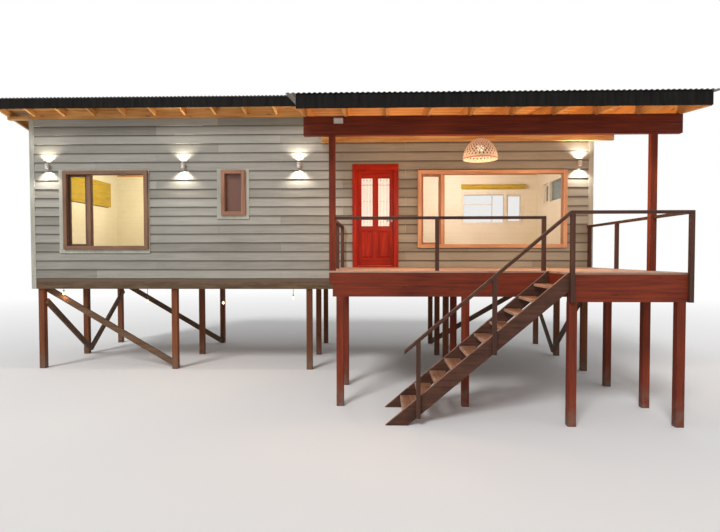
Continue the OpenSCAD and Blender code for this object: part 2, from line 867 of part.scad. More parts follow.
module leaf_hinges() {
    color("silver") on_site() translate([hinge_x, hinge_y, leaf_z])
    for (z = hinge_zs)
    difference() {
        union() {
            translate([0, 0, z + hinge_h / 2 + joint])
                cylinder(r = knuckle_r, h = hinge_h / 2 - joint, $fn = 32);
            block([leaf_gap / 2 - hinge_plate_t, -knuckle_r - hinge_plate_w, z + hinge_h / 2 + joint],
                [leaf_gap / 2, 0, z + hinge_h]);
        }
        translate([0, 0, z]) cylinder(r = pin_r, h = 2 * hinge_h, $fn = 32);
    }
}

// Lamps

module wall_lamps() {
    arm = 30;
    color("dimgray") on_site()
    for (x = wall_lamp_xs)
    translate([x, 0, floor_z + wall_lamp_z]) {
        translate([0, -wall_lamp_r - arm / 2, -wall_lamp_h / 2])
            cylinder(r = wall_lamp_r, h = wall_lamp_h, $fn = 48);
        block([-arm / 2, -wall_lamp_r, -arm / 2], [arm / 2, clad_t, arm / 2]);
    }
}

module floodlight() {
    floodlight_d = 45;
    color("dimgray") on_site()
    translate([porch_x0 + floodlight_x - floodlight_w / 2, -deck_d - floodlight_d,
        porch_beam_top - floodlight_drop - floodlight_h / 2])
        cube([floodlight_w, floodlight_d, floodlight_h]);
}

// The dome's half section, open below and closed by a small ring at the top
module dome_section(r, h, t, top_r) {
    steps = 16;
    function bulge(a, k) = [top_r + (r - k - top_r) * cos(a), (h - k) * sin(a)];
    outer = [for (i = [0 : steps]) bulge(i * 90 / steps, 0)];
    inner = [for (i = [steps : -1 : 0]) bulge(i * 90 / steps, t)];
    polygon(concat(outer, inner));
}

module pendant_shade() {
    color("burlywood") on_site() translate([shade_x, -shade_y, floor_z + shade_z])
        rotate_extrude($fn = 64) dome_section(shade_r, shade_h, shade_t, holder_r + joint);
}

module pendant_lamp() {
    base = floor_z + shade_z;
    ceiling = porch_under(-shade_y) + porch_rafter_h;
    color("tan") on_site() translate([shade_x, -shade_y, 0]) {
        difference() {
            translate([0, 0, ceiling - cup_h]) cylinder(r = cup_r, h = 2 * cup_h, $fn = 48);
            translate([0, shade_y, 0]) along_x(-2 * cup_r, 2 * cup_r)
                polygon([for (p = [[-1, 0], [1, 0], [1, 1], [-1, 1]])
                    [-shade_y + 2 * cup_r * p[0],
                        porch_under(-shade_y + 2 * cup_r * p[0]) + porch_rafter_h + 4 * cup_h * p[1]]]);
        }
        translate([0, 0, base + shade_h])
            cylinder(r = stem_r, h = ceiling - cup_h - base - shade_h, $fn = 24);
        translate([0, 0, base + shade_h - holder_h]) cylinder(r = holder_r, h = holder_h, $fn = 32);
        translate([0, 0, base + shade_h - pendant_bulb_drop]) sphere(r = pendant_bulb_r, $fn = 48);
    }
}

module ground_lamps() {
    color("white") on_site()
    for (p = ground_lamps_at)
    translate([p[0], post_ys[0], 0]) {
        translate([0, 0, p[1]]) sphere(r = bulb_r, $fn = 32);
        translate([0, 0, p[1]]) cylinder(r = lamp_cap_r, h = lamp_cap_h, $fn = 24);
        translate([0, 0, p[1]]) cylinder(r = lamp_tube_r, h = post_top - p[1], $fn = 24);
    }
}

// Deck and landing

module deck_posts() {
    xs = [deck_post_left, deck_post_mid, deck_post_right];
    under_deck = [for (x = xs, y = [deck_post_s / 2 - deck_d, -deck_row_y]) [x, y]];
    under_landing = [for (x = [landing_x0 + deck_post_s / 2, deck_post_right])
        [x, landing_y + deck_post_s / 2]];
    color("sienna") on_site()
    for (p = concat(under_deck, under_landing))
        block([p[0] - deck_post_s / 2, p[1] - deck_post_s / 2, 0],
            [p[0] + deck_post_s / 2, p[1] + deck_post_s / 2, deck_beam_z]);
}

module deck_beams() {
    x1 = deck_x1 - deck_beam_inset;
    color("sienna") on_site() {
        block([deck_x0 + deck_beam_inset, -deck_d, deck_beam_z], [x1, deck_beam_w - deck_d, deck_joist_z]);
        block([deck_x0 + deck_beam_inset, -deck_row_y - deck_beam_w / 2, deck_beam_z],
            [x1, -deck_row_y + deck_beam_w / 2, deck_joist_z]);
        block([landing_x0, landing_y, deck_beam_z], [x1, landing_y + deck_beam_w, deck_joist_z]);
    }
}

module deck_joists() {
    color("peru") on_site() {
        for (x = spread(deck_x0 + rim_t + joist_w / 2, deck_x1 - rim_t - joist_w / 2, joist_pitch))
            block([x - joist_w / 2, rim_t - deck_d, deck_joist_z], [x + joist_w / 2, -ledger_t, deck_z]);
        for (x = spread(landing_x0 + rim_t + joist_w / 2, deck_x1 - rim_t - joist_w / 2, joist_pitch))
            block([x - joist_w / 2, landing_y + rim_t, deck_joist_z], [x + joist_w / 2, -deck_d, deck_z]);
    }
}

// The boards round the joists, and the ledger, which reaches through the cladding to the house's rim
module deck_rim() {
    ledger_x0 = deck_x0 + rim_t + joint;
    ledger_x1 = deck_x1 - rim_t - joint;
    packing_x1 = min(ledger_x1, house_l / 2 - corner_w - joint);
    color("sienna") on_site() {
        block([deck_x0, -deck_d, deck_joist_z], [deck_x1, rim_t - deck_d, deck_z]);
        block([deck_x0, rim_t + joint - deck_d, deck_joist_z], [deck_x0 + rim_t, 0, deck_z]);
        block([deck_x1 - rim_t, rim_t + joint - deck_d, deck_joist_z], [deck_x1, 0, deck_z]);
        block([ledger_x0, -ledger_t, deck_joist_z], [ledger_x1, 0, deck_z]);
        block([ledger_x0, -ledger_t, deck_joist_z], [packing_x1, clad_t, deck_z]);
        block([landing_x0, landing_y, deck_joist_z], [deck_x1, landing_y + rim_t, deck_z]);
        block([landing_x0, landing_y + rim_t + joint, deck_joist_z],
            [landing_x0 + rim_t, -deck_d - joint, deck_z]);
        block([deck_x1 - rim_t, landing_y + rim_t + joint, deck_joist_z], [deck_x1, -deck_d - joint, deck_z]);
    }
}

module deck_floor() {
    color("tan") on_site() {
        block([deck_x0, -deck_d, deck_z], [deck_x1, -casing_t, floor_z]);
        block([landing_x0, landing_y, deck_z], [deck_x1, -deck_d - joint, floor_z]);
    }
}

// Porch roof

module porch_posts() {
    color("saddlebrown") on_site()
    for (x = [deck_x0, deck_x1 - porch_post_s])
        block([x, -deck_d, floor_z],
            [x + porch_post_s, porch_post_s - deck_d, porch_beam_top - porch_beam_h]);
}

module porch_beams() {
    color("saddlebrown") on_site() {
        block([porch_x0, -deck_d, porch_beam_top - porch_beam_h],
            [porch_x1 + porch_beam_past, porch_post_s - deck_d, porch_beam_top]);
        block([porch_x0, -ledger_t, ledger_top - ledger_h], [porch_x1 + ledger_past, 0, ledger_top]);
        block([porch_x0, -ledger_t, ledger_top - ledger_h], [house_l / 2 - corner_w, clad_t, ledger_top]);
    }
}

function porch_raked(y0, y1, lo, hi) =
    [[y0, porch_under(y0) + lo], [y1, porch_under(y1) + lo],
        [y1, porch_under(y1) + hi], [y0, porch_under(y0) + hi]];

// Each rafter is notched to sit level on the beam and on the ledger
module porch_rafters() {
    beam_back = porch_post_s - deck_d;
    color("sandybrown") on_site()
    for (x = porch_rafter_xs)
    along_x(x - rafter_w / 2, x + rafter_w / 2)
    difference() {
        polygon(porch_raked(porch_front, 0, 0, porch_rafter_h));
        translate([-deck_d, porch_beam_top - porch_beam_h]) square([beam_back + deck_d, porch_beam_h]);
        translate([-ledger_t, ledger_top - ledger_h]) square([ledger_t + cut, ledger_h]);
    }
}

module porch_roof_boards() {
    color("peru") on_site()
    along_x(porch_x0, porch_x1)
        polygon(porch_raked(porch_front, 0, porch_rafter_h, porch_rafter_h + board_t));
}

module porch_roof_sheet() {
    y0 = porch_front - fascia_t - sheet_lip;
    length = -y0 / cos(atan(porch_slope));
    color("dimgray") on_site()
    translate([0, y0, porch_under(y0) + porch_rafter_h + board_t + joint]) rotate([atan(porch_slope), 0, 0])
        rippled_sheet(porch_x0 - porch_sheet_past, porch_x1 + porch_sheet_past, length);
}

module porch_fascia() {
    y0 = porch_front - fascia_t;
    top = porch_under(y0) + porch_rafter_h + board_t;
    color("black") on_site()
    block([porch_x0, y0, top - porch_fascia_h], [porch_x1, porch_front, top]);
}

// Rails

module upright(x, y, z0, z1) {
    block([x - rail_w / 2, y - rail_w / 2, z0], [x + rail_w / 2, y + rail_w / 2, z1]);
}

module rail_posts() {
    front = rail_w / 2 - deck_d;
    landing_front = landing_y - rail_w / 2;
    color("brown") on_site() {
        for (x = [rail_post_mid, front_rail_end])
            upright(x, front, floor_z, rail_under);
        for (x = [deck_x0 + rail_w / 2, deck_x1 - rail_w / 2], y = side_rail_ys)
            upright(x, y, floor_z, rail_under);
        upright(landing_x0 + rail_w / 2, landing_front, deck_beam_z, rail_under);
        upright(deck_x1 - rail_w / 2, landing_front, deck_beam_z, rail_under);
        for (run = [stair_post_high, stair_post_low])
        stair_post(landing_x0 - run, landing_front);
    }
}

// Height of the underside of the sloping rail, whose top meets the landing's rail
function stair_rail_z(x) = nosing_z(x) + rail_h - rail_t / cos(slope_angle);

// A post on the outer face of the near stringer, cut to the rail's slope
module stair_post(x, y) {
    x0 = x - rail_w / 2;
    x1 = x + rail_w / 2;
    foot = max(0, nosing_z(x) - stringer_h / cos(slope_angle));
    along_y(y - rail_w / 2, y + rail_w / 2)
        polygon([[x0, foot], [x1, foot], [x1, stair_rail_z(x1)], [x0, stair_rail_z(x0)]]);
}

module hand_rails() {
    top = rail_under + rail_t;
    front = -deck_d;
    landing_front = landing_y - rail_w;
    rail_t_up = rail_t / cos(slope_angle);
    low_x = landing_x0 - stair_post_low - rail_tail;
    color("brown") on_site() {
        block([deck_x0 + porch_post_s, front, rail_under],
            [front_rail_end + rail_w / 2, front + rail_w, top]);
        block([deck_x0, front + porch_post_s, rail_under], [deck_x0 + rail_w, 0, top]);
        block([deck_x1 - rail_w, front + porch_post_s, rail_under], [deck_x1, 0, top]);
        block([deck_x1 - rail_w, landing_y + joint, rail_under], [deck_x1, front, top]);
        block([landing_x0, landing_front, rail_under], [deck_x1, landing_y, top]);
        along_y(landing_front, landing_y)
            polygon([[low_x, stair_rail_z(low_x)], [landing_x0 - joint, stair_rail_z(landing_x0 - joint)],
                [landing_x0 - joint, stair_rail_z(landing_x0 - joint) + rail_t_up],
                [low_x, stair_rail_z(low_x) + rail_t_up]]);
    }
}

// Stair

// Side outline of a stringer: upper edge over the nosings, level foot, plumb head
module stringer_outline() {
    up = nosing_margin / cos(slope_angle);
    down = stringer_h / cos(slope_angle) - up;
    head = landing_x0;
    foot_back = stair_foot + down / stair_slope;
    foot_front = stair_foot - up / stair_slope;
    polygon([[foot_front, 0], [foot_back, 0], [head, nosing_z(head) - down],
        [head, floor_z - joint], [stair_foot + (floor_z - joint - up) / stair_slope, floor_z - joint]]);
}

// The treads with their ends let into the stringers. Each runs a little under the next, and the top one
// stops at the landing's rim. A gap makes them larger all round, for the grooves
module treads(gap) {
    reach = housing + gap;
    for (i = [1 : risers - 1]) {
        x = landing_x0 - (risers - i) * going;
        block([x - gap, landing_y + stringer_t - reach, i * rise - tread_t - gap],
            [min(x + tread_d, landing_x0) + gap, -deck_d - stringer_t + reach, i * rise + gap]);
    }
}

module stair_stringers() {
    color("saddlebrown") on_site()
    difference() {
        for (y = [landing_y, -deck_d - stringer_t])
            along_y(y, y + stringer_t) stringer_outline();
        treads(joint);
    }
}

module stair_treads() {
    color("peru") on_site() treads(0);
}

house_posts();
post_braces();
floor_bearers();
floor_joists();
house_floor();
skirt_boards();
front_wall_left();
front_wall_right();
front_wall_over_door();
left_wall();
right_wall();
back_wall();
corner_boards();
wall_plates();
main_rafters();
main_roof_boards();
main_roof_sheet();
main_fascia();
left_window_frame();
small_window_frame();
big_window_frame();
rear_window_frames();
window_sashes();
window_glass();
window_blinds();
door_frame();
jamb_hinges();
door_leaf();
door_glass();
door_handle();
leaf_hinges();
wall_lamps();
floodlight();
pendant_shade();
pendant_lamp();
ground_lamps();
deck_posts();
deck_beams();
deck_joists();
deck_rim();
deck_floor();
porch_posts();
porch_beams();
porch_rafters();
porch_roof_boards();
porch_roof_sheet();
porch_fascia();
rail_posts();
hand_rails();
stair_stringers();
stair_treads();
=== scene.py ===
import math

import bmesh
import bpy
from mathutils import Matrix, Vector


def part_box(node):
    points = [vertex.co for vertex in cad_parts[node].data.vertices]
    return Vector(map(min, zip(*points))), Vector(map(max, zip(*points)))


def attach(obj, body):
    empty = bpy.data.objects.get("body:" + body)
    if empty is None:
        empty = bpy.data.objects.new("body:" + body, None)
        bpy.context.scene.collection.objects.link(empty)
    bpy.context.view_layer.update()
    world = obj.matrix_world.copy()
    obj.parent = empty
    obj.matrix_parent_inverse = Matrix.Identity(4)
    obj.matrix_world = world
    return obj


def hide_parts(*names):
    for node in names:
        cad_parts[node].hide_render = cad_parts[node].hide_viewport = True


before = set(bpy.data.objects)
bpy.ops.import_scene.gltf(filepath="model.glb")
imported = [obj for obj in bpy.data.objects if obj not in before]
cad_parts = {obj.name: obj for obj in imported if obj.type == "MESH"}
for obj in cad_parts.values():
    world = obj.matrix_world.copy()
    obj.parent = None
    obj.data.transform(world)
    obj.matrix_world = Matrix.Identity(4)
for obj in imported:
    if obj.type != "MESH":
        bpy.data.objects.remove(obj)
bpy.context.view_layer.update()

# Camera, standing on the ground before the deck at a grown person's eye height, a little right of the
# middle. The fitted turn, tilt and roll are small, and so is the shift that the photograph's crop needs.
photo_px = 720
lens_px = 530
camera_from_wall = 11.0
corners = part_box("corner_boards")
wall_y = corners[0][1]
camera = bpy.data.objects.new("camera", bpy.data.cameras.new("camera"))
bpy.context.scene.collection.objects.link(camera)
camera.location = (1.504, wall_y - camera_from_wall, 2.385)
camera.rotation_euler = (math.radians(90 - 1.640), math.radians(0.047), math.radians(1.622))
camera.data.sensor_width = 36
camera.data.lens = camera.data.sensor_width * lens_px / photo_px
camera.data.shift_x = -4.97 / photo_px
camera.data.shift_y = 5.35 / photo_px
bpy.context.scene.camera = camera

# Posts of the house, the deck and the porch: square sawn timber with a red-brown stain, standing on the
# ground. Their edges are eased, the grain runs up, and the feet are darkened by splashed soil.


class Field:
    """A colour, vector or number of a material. Operators add Math nodes, and node() adds any other."""

    def __init__(self, tree, socket):
        self.tree = tree
        self.socket = socket

    def node(self, kind, settings=None, values=None, output=0):
        """Adds a node from its settings, and the values or fields of its sockets, and gives its output"""
        made = self.tree.nodes.new("ShaderNode" + kind)
        for name, setting in (settings or {}).items():
            if name == "stops":
                stops = made.color_ramp.elements
                while len(stops) < len(setting):
                    stops.new(1)
                for stop, (place, colour) in zip(stops, setting):
                    stop.position = place
                    stop.color = (*colour, 1)
            else:
                setattr(made, name, setting)
        for name, value in (values or {}).items():
            if isinstance(value, Field):
                self.tree.links.new(value.socket, made.inputs[name])
            else:
                made.inputs[name].default_value = value
        return Field(self.tree, made.outputs[output])

    def math(self, operation, *values):
        return self.node("Math", {"operation": operation}, dict(enumerate(values)))

    def __add__(self, other):
        return self.math("ADD", self, other)

    def __radd__(self, other):
        return self.math("ADD", other, self)

    def __sub__(self, other):
        return self.math("SUBTRACT", self, other)

    def __rsub__(self, other):
        return self.math("SUBTRACT", other, self)

    def __mul__(self, other):
        return self.math("MULTIPLY", self, other)

    def __rmul__(self, other):
        return self.math("MULTIPLY", other, self)

    def __truediv__(self, other):
        return self.math("DIVIDE", self, other)

    def floor(self):
        return self.math("FLOOR", self)

    def fraction(self):
        return self.math("FRACT", self)

    def unsigned(self):
        return self.math("ABSOLUTE", self)

    def or_more(self, other):
        return self.math("MAXIMUM", self, other)

    def between(self, low, high):
        """0 up to low, 1 from high on, and a straight rise between"""
        return self.node("MapRange", {}, {0: self, 1: low, 2: high})

    def within(self, low, high, edge):
        """1 from low to high, falling to 0 over this edge outside them"""
        return self.between(low - edge, low) * (1 - self.between(high, high + edge))

    def stretched(self, by):
        return self.node("VectorMath", {"operation": "MULTIPLY"}, {0: self, 1: by})

    def drawn(self, along, lengthwise, across):
        """Coordinates with one scale along an axis and another across it"""
        return self.stretched([lengthwise if axis == along else across for axis in "XYZ"])

    def noise(self, scale, detail=3.0, roughness=0.55):
        """Cloudy noise from 0 to 1 at these coordinates"""
        return self.node("TexNoise", {}, {"Vector": self, "Scale": scale, "Detail": detail,
                                          "Roughness": roughness})

    def grain(self, along, lengthwise=1.2, across=26):
        """Fibres of timber along an axis"""
        return self.drawn(along, lengthwise, across).noise(1.0, 6, 0.62)

    def of_board(self, row, cell):
        """A number from 0 to 1 for each board, by its row and its place in the row"""
        which = self.node("CombineXYZ", {}, {0: row, 1: cell})
        return which.node("TexWhiteNoise", {"noise_dimensions": "3D"}, {"Vector": which})

    def part(self, axis):
        return self.node("SeparateXYZ", {}, {0: self}, "XYZ".index(axis))

    def ramp(self, *stops):
        return self.node("ValToRGB", {"stops": stops}, {0: self})

    def mix(self, first, second):
        """The first colour where this field is 0, the second where it is 1"""
        colours = [(*c, 1) if isinstance(c, tuple) else c for c in (first, second)]
        return self.node("Mix", {"data_type": "RGBA"}, {0: self, 6: colours[0], 7: colours[1]}, 2)

    def feeds(self, name):
        """Links this field to a socket of the material's shader"""
        shader = self.tree.nodes["Principled BSDF"]
        self.tree.links.new(self.socket, shader.inputs[name])

    def coats(self, rough=None, height=None, rise=0.001, strength=0.5):
        """Gives the shader this colour, with a roughness and a bump that rises this far if wanted"""
        self.feeds("Base Color")
        if rough:
            rough.feeds("Roughness")
        if height:
            bump = {"Strength": strength, "Distance": rise, "Height": height}
            self.node("Bump", {}, bump).feeds("Normal")


def new_finish(name, fixed):
    """A material whose shader has these fixed values, and the object coordinates to paint it by"""
    material = bpy.data.materials.new(name)
    material.use_nodes = True
    shader = material.node_tree.nodes["Principled BSDF"]
    for socket, value in fixed.items():
        shader.inputs[socket].default_value = value
    coordinates = material.node_tree.nodes.new("ShaderNodeTexCoord")
    return material, Field(material.node_tree, coordinates.outputs["Object"])


def knotted(place, colour, along, lengthwise, wide, amount, tone):
    """A colour with dark knots scattered over it"""
    cells = place.drawn(along, lengthwise, 9)
    knot = cells.node("TexVoronoi", {}, {"Vector": cells, "Scale": 1.0, "Randomness": 1.0})
    return ((1 - knot.between(0.05, wide)) * amount).mix(colour, tone)


def timber(name, along, dark, light, roughness=0.7, fibre_size=1.0, knots=0.0, soiled=0.0):
    """Timber with its grain along one axis, between two tones, with knots and soiled feet if wanted"""
    material, place = new_finish(name, {"Specular IOR Level": 0.2})
    long_grain = place.drawn(along, 1.2, 26 / fibre_size)
    fibre = long_grain.noise(1.0, 6, 0.62)
    fine = long_grain.noise(5.0, 3, 0.7)
    tone = fibre * 0.62 + fine * 0.16 + place.noise(0.9, 2) * 0.34
    colour = tone.ramp((0.38, dark), (0.70, light))
    if knots:
        colour = knotted(place, colour, along, 2.1, 0.16, knots, tuple(c * 0.35 for c in dark))
    if soiled:
        soil = (1 - place.part("Z").between(0.02, 0.45)) * place.noise(7.0, 4).between(0.3, 0.65) * soiled
        colour = soil.mix(colour, (0.16, 0.13, 0.10))
    colour.coats(fibre * 0.22 + (roughness - 0.11), fibre + fine * 0.6, 0.0016)
    return material


def dress(node, material, ease=0.003):
    """Gives a CAD node its finish and eases its sharp edges"""
    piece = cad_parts[node]
    for place in piece.material_slots:
        place.material = material
    if ease:
        weld = piece.modifiers.new("weld", "WELD")
        weld.merge_threshold = 0.00002
        bevel = piece.modifiers.new("ease", "BEVEL")
        bevel.width = ease
        bevel.segments = 2
        bevel.limit_method = "ANGLE"
        bevel.angle_limit = sharp


sharp = math.radians(35)
stain_dark, stain_light = (0.070, 0.011, 0.005), (0.225, 0.037, 0.014)
post_stain = timber("post_stain", "Z", (0.085, 0.024, 0.009), (0.225, 0.075, 0.030), knots=0.5, soiled=0.8)
deck_stain_up = timber("deck_stain_up", "Z", stain_dark, stain_light, knots=0.4, soiled=0.8)
dress("house_posts", post_stain, 0.005)
dress("deck_posts", deck_stain_up, 0.005)
dress("porch_posts", deck_stain_up, 0.004)

# Braces, bearers, beams and joists: sawn timber laid on the posts and spiked down. Bearers and joists
# were left nearly raw, and the deck's beams, rim and porch beam have the red-brown stain of its posts.
raw_dark, raw_light = (0.13, 0.075, 0.042), (0.36, 0.235, 0.135)
deck_stain = timber("deck_stain", "X", stain_dark, stain_light, knots=0.4)
raw_x = timber("raw_timber_x", "X", raw_dark, raw_light, knots=0.6)
raw_y = timber("raw_timber_y", "Y", raw_dark, raw_light, knots=0.6)
brace_stain = timber("brace_stain", "X", (0.055, 0.032, 0.020), (0.19, 0.105, 0.06),
                     fibre_size=1.6, soiled=0.8)
dress("post_braces", brace_stain, 0.002)
dress("floor_bearers", raw_x)
dress("floor_joists", raw_y, 0.002)
dress("deck_beams", deck_stain, 0.004)
dress("deck_joists", raw_y, 0.002)
dress("deck_rim", deck_stain, 0.003)

# Porch beams: the one on the posts is stained as they are, and the ledger on the wall is pale pine. Both
# are planed, and bolted to what carries them.
pine_dark, pine_light = (0.42, 0.17, 0.045), (0.76, 0.42, 0.15)
beam_finish, place = new_finish("porch_beam_finish", {"Specular IOR Level": 0.2})
fibre = place.grain("X")
tone = fibre * 0.75 + place.noise(0.9, 2) * 0.3
at_wall = place.part("Y").between(-1.0, -0.9)
colour = at_wall.mix(tone.ramp((0.38, stain_dark), (0.70, stain_light)),
                     tone.ramp((0.38, pine_dark), (0.70, (0.76, 0.52, 0.24))))
colour.coats(fibre * 0.22 + 0.5, fibre, 0.0016)
dress("porch_beams", beam_finish, 0.005)

# Floor boards and skirt: the floor is tongued boards nailed to the joists, seen from below between them.
# The skirt is a painted board round the foot of the cladding, weathered darker than the walls.


def striped(field, pitch, line):
    """1 on thin lines a pitch apart, and 0 between them"""
    wave = (field / pitch).fraction()
    return 1 - wave.math("PINGPONG", wave, 0.5).between(0.0, line / pitch)


floor_finish, place = new_finish("floor_boards", {"Roughness": 0.6})
gap = striped(place.part("Y"), 0.11, 0.004)
fibre = place.drawn("X", 1.5, 30).noise(1.0, 5)
colour = gap.mix(fibre.ramp((0.35, (0.23, 0.13, 0.07)), (0.7, (0.48, 0.31, 0.18))), (0.03, 0.02, 0.012))
colour.coats(height=fibre - gap * 2.0, rise=0.002)
dress("house_floor", floor_finish, 0.002)

skirt_paint, place = new_finish("skirt_paint", {"Roughness": 0.7, "Specular IOR Level": 0.2})
worn = place.drawn("Z", 6, 0.8).noise(2.2, 6, 0.7)
worn.ramp((0.35, (0.075, 0.044, 0.024)), (0.68, (0.16, 0.105, 0.064))).coats(height=worn)
dress("skirt_boards", skirt_paint, 0.004)

# Walls: framed timber, lined inside with boards painted cream. The nodes show only from inside and at
# the openings, because the lapped boards cover their outer faces.
lining_paint, place = new_finish("lining_paint", {"Roughness": 0.55})
seam = striped(place.part("Z"), 0.15, 0.003)
cream = place.noise(1.3, 3).ramp((0.35, (0.80, 0.74, 0.58)), (0.7, (0.86, 0.81, 0.67)))
seam.mix(cream, (0.62, 0.55, 0.40)).coats(height=1 - seam, strength=0.3)
for wall in ("front_wall_left", "front_wall_right", "front_wall_over_door",
             "left_wall", "right_wall", "back_wall"):
    dress(wall, lining_paint, 0)

# Cladding: lapped boards nailed over the frames, painted a pale grey-green that has weathered in patches.
# Each board is a long wedge whose thick lower edge covers the board below and waves a little.


def select_only(*pieces):
    """Selects these objects alone, and makes the first the active one"""
    if bpy.context.object and bpy.context.object.mode != "OBJECT":
        bpy.ops.object.mode_set(mode="OBJECT")
    bpy.ops.object.select_all(action="DESELECT")
    for piece in pieces:
        piece.select_set(True)
    bpy.context.view_layer.objects.active = pieces[0]


def pick(piece, kind, test):
    """In edit mode, selects the vertices, edges or faces whose middle and normal pass a test"""
    bpy.ops.mesh.select_mode(type=kind)
    bpy.ops.mesh.select_all(action="DESELECT")
    mesh = bmesh.from_edit_mesh(piece.data)
    parts = {"VERT": mesh.verts, "EDGE": mesh.edges, "FACE": mesh.faces}[kind]
    for part in parts:
        ends = [part.co] if kind == "VERT" else [v.co for v in part.verts]
        middle = sum(ends, Vector()) / len(ends)
        lie = ends[1] - ends[0] if kind == "EDGE" else part.normal
        part.select_set(bool(test(middle, lie)))
    mesh.select_flush_mode()
    bmesh.update_edit_mesh(piece.data)


def shaped(piece, *steps):
    """Works on parts of a piece. A step picks them by kind and test, or keeps those picked, and works"""
    select_only(piece)
    bpy.ops.object.mode_set(mode="EDIT")
    for kind, test, work, settings in steps:
        if kind:
            pick(piece, kind, test)
        work(**settings)
    bpy.ops.object.mode_set(mode="OBJECT")
    return piece


def bake_place(piece):
    """Puts an object's place, turn and size into its mesh"""
    select_only(piece)
    bpy.ops.object.transform_apply(location=True, rotation=True, scale=True)
    return piece


def moved(piece, x=0.0, y=0.0, z=0.0, turn=(0.0, 0.0, 0.0)):
    """A piece turned about the origin and moved, with its place in its mesh"""
    piece.rotation_euler = turn
    piece.location = (x, y, z)
    return bake_place(piece)


def copied(piece, x=0.0, y=0.0, z=0.0, turn=(0.0, 0.0, 0.0)):
    """A copy of an object with its own mesh, turned and moved"""
    select_only(piece)
    bpy.ops.object.duplicate(linked=False)
    return moved(bpy.context.object, x, y, z, turn)


def bar(name, low, high):
    """A squared bar between two corners"""
    bpy.ops.object.select_all(action="DESELECT")
    middle = [(a + b) / 2 for a, b in zip(low, high)]
    size = [b - a for a, b in zip(low, high)]
    bpy.ops.mesh.primitive_cube_add(size=1, location=middle, scale=size)
    bpy.context.object.name = name
    return bake_place(bpy.context.object)


def modified(piece, kind, **settings):
    """Adds a modifier with its settings and applies it"""
    select_only(piece)
    modifier = piece.modifiers.new(kind.lower(), kind)
    for name, setting in settings.items():
        setattr(modifier, name, setting)
    bpy.ops.object.modifier_apply(modifier=modifier.name)
    return piece


def repeated(piece, count, x=0.0, y=0.0, z=0.0, **settings):
    """A row of a piece and its copies, each this far from the one before, made one"""
    return modified(piece, "ARRAY", count=count, use_relative_offset=False, use_constant_offset=True,
                    constant_offset_displace=(x, y, z), **settings)


def trimmed(piece, point, outward, closed=True):
    """Cuts away what lies beyond a plane, and closes the cut if wanted"""
    select_only(piece)
    bpy.ops.object.mode_set(mode="EDIT")
    bpy.ops.mesh.select_all(action="SELECT")
    bpy.ops.mesh.bisect(plane_co=point, plane_no=outward, use_fill=closed, clear_outer=True)
    bpy.ops.object.mode_set(mode="OBJECT")
    return piece


def joined(name, pieces):
    """Makes several objects one"""
    select_only(*pieces)
    bpy.ops.object.join()
    bpy.context.object.name = name
    return bpy.context.object


def discard(*pieces):
    """Removes objects that were only patterns or cutters"""
    for piece in pieces:
        bpy.data.objects.remove(piece)


def cut_by(piece, cutters):
    """Cuts boxes out of a piece"""
    tool = joined("cutter", cutters)
    modified(piece, "BOOLEAN", object=tool, operation="DIFFERENCE", solver="EXACT", use_self=False)
    discard(tool)
    return piece


def settled(piece, material, body="house", smooth=None):
    """A finished piece gets its material, slot and body, and smooth faces below an angle if wanted"""
    if smooth:
        select_only(piece)
        bpy.ops.object.shade_smooth_by_angle(angle=math.radians(smooth))
    piece.data.materials.clear()
    piece.data.materials.append(material)
    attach(piece, body)
    return piece


course = 0.187
lap = 0.030
board_l = 3.9
board_gap = 0.003
butt_out = 0.0235
butt_back = 0.0098
tip_t = 0.007
corner_w = 0.100
clad_t = 0.025
first_butt = 1.738
skirt_top = 1.8505
wave_texture = bpy.data.textures.new("board_edges", "CLOUDS")
wave_texture.noise_scale = 0.42


def wedge_board():
    """One lapped board on a frame whose face is y 0, facing -Y, with its thick edge at z 0"""
    move = bpy.ops.transform.translate
    return shaped(
        bar("board", (0, -butt_out, 0), (board_l - board_gap, -butt_back, course + lap)),
        ("VERT", lambda p, n: p.z > course / 2, move, {"value": (0, butt_back, 0)}),
        ("VERT", lambda p, n: p.z > course / 2 and p.y < -tip_t,
         move, {"value": (0, butt_out - butt_back - tip_t, 0)}),
        ("EDGE", lambda p, d: p.z < course / 2 and p.y < -butt_back - 0.001 and abs(d.x) > 1,
         bpy.ops.mesh.bevel, {"offset": 0.0025, "segments": 1, "affect": "EDGES"}),
        ("EDGE", lambda p, d: abs(d.x) > 1, bpy.ops.mesh.subdivide, {"number_cuts": 16}))


def cladding(name, wall_l, height):
    """Boards in courses over a wall of this length and height above z 0, staggered by a third"""
    rows = []
    board = wedge_board()
    across = math.ceil(wall_l / board_l) + 1
    for row in range(3):
        one = copied(board, x=board_l * (row / 3 - 1), z=first_butt - skirt_top + row * course)
        repeated(one, across, x=board_l)
        rows.append(repeated(one, math.ceil(height / course / 3) + 1, z=3 * course))
    discard(board)
    piece = modified(joined(name, rows), "DISPLACE", texture=wave_texture, texture_coords="GLOBAL",
                     direction="Z", strength=0.034, mid_level=0.5)
    for point, outward in (((wall_l, 0, 0), (1, 0, 0)), ((0, 0, 0), (-1, 0, 0)),
                           ((0, 0, height), (0, 0, 1)), ((0, 0, 0), (0, 0, -1))):
        trimmed(piece, point, outward)
    return piece


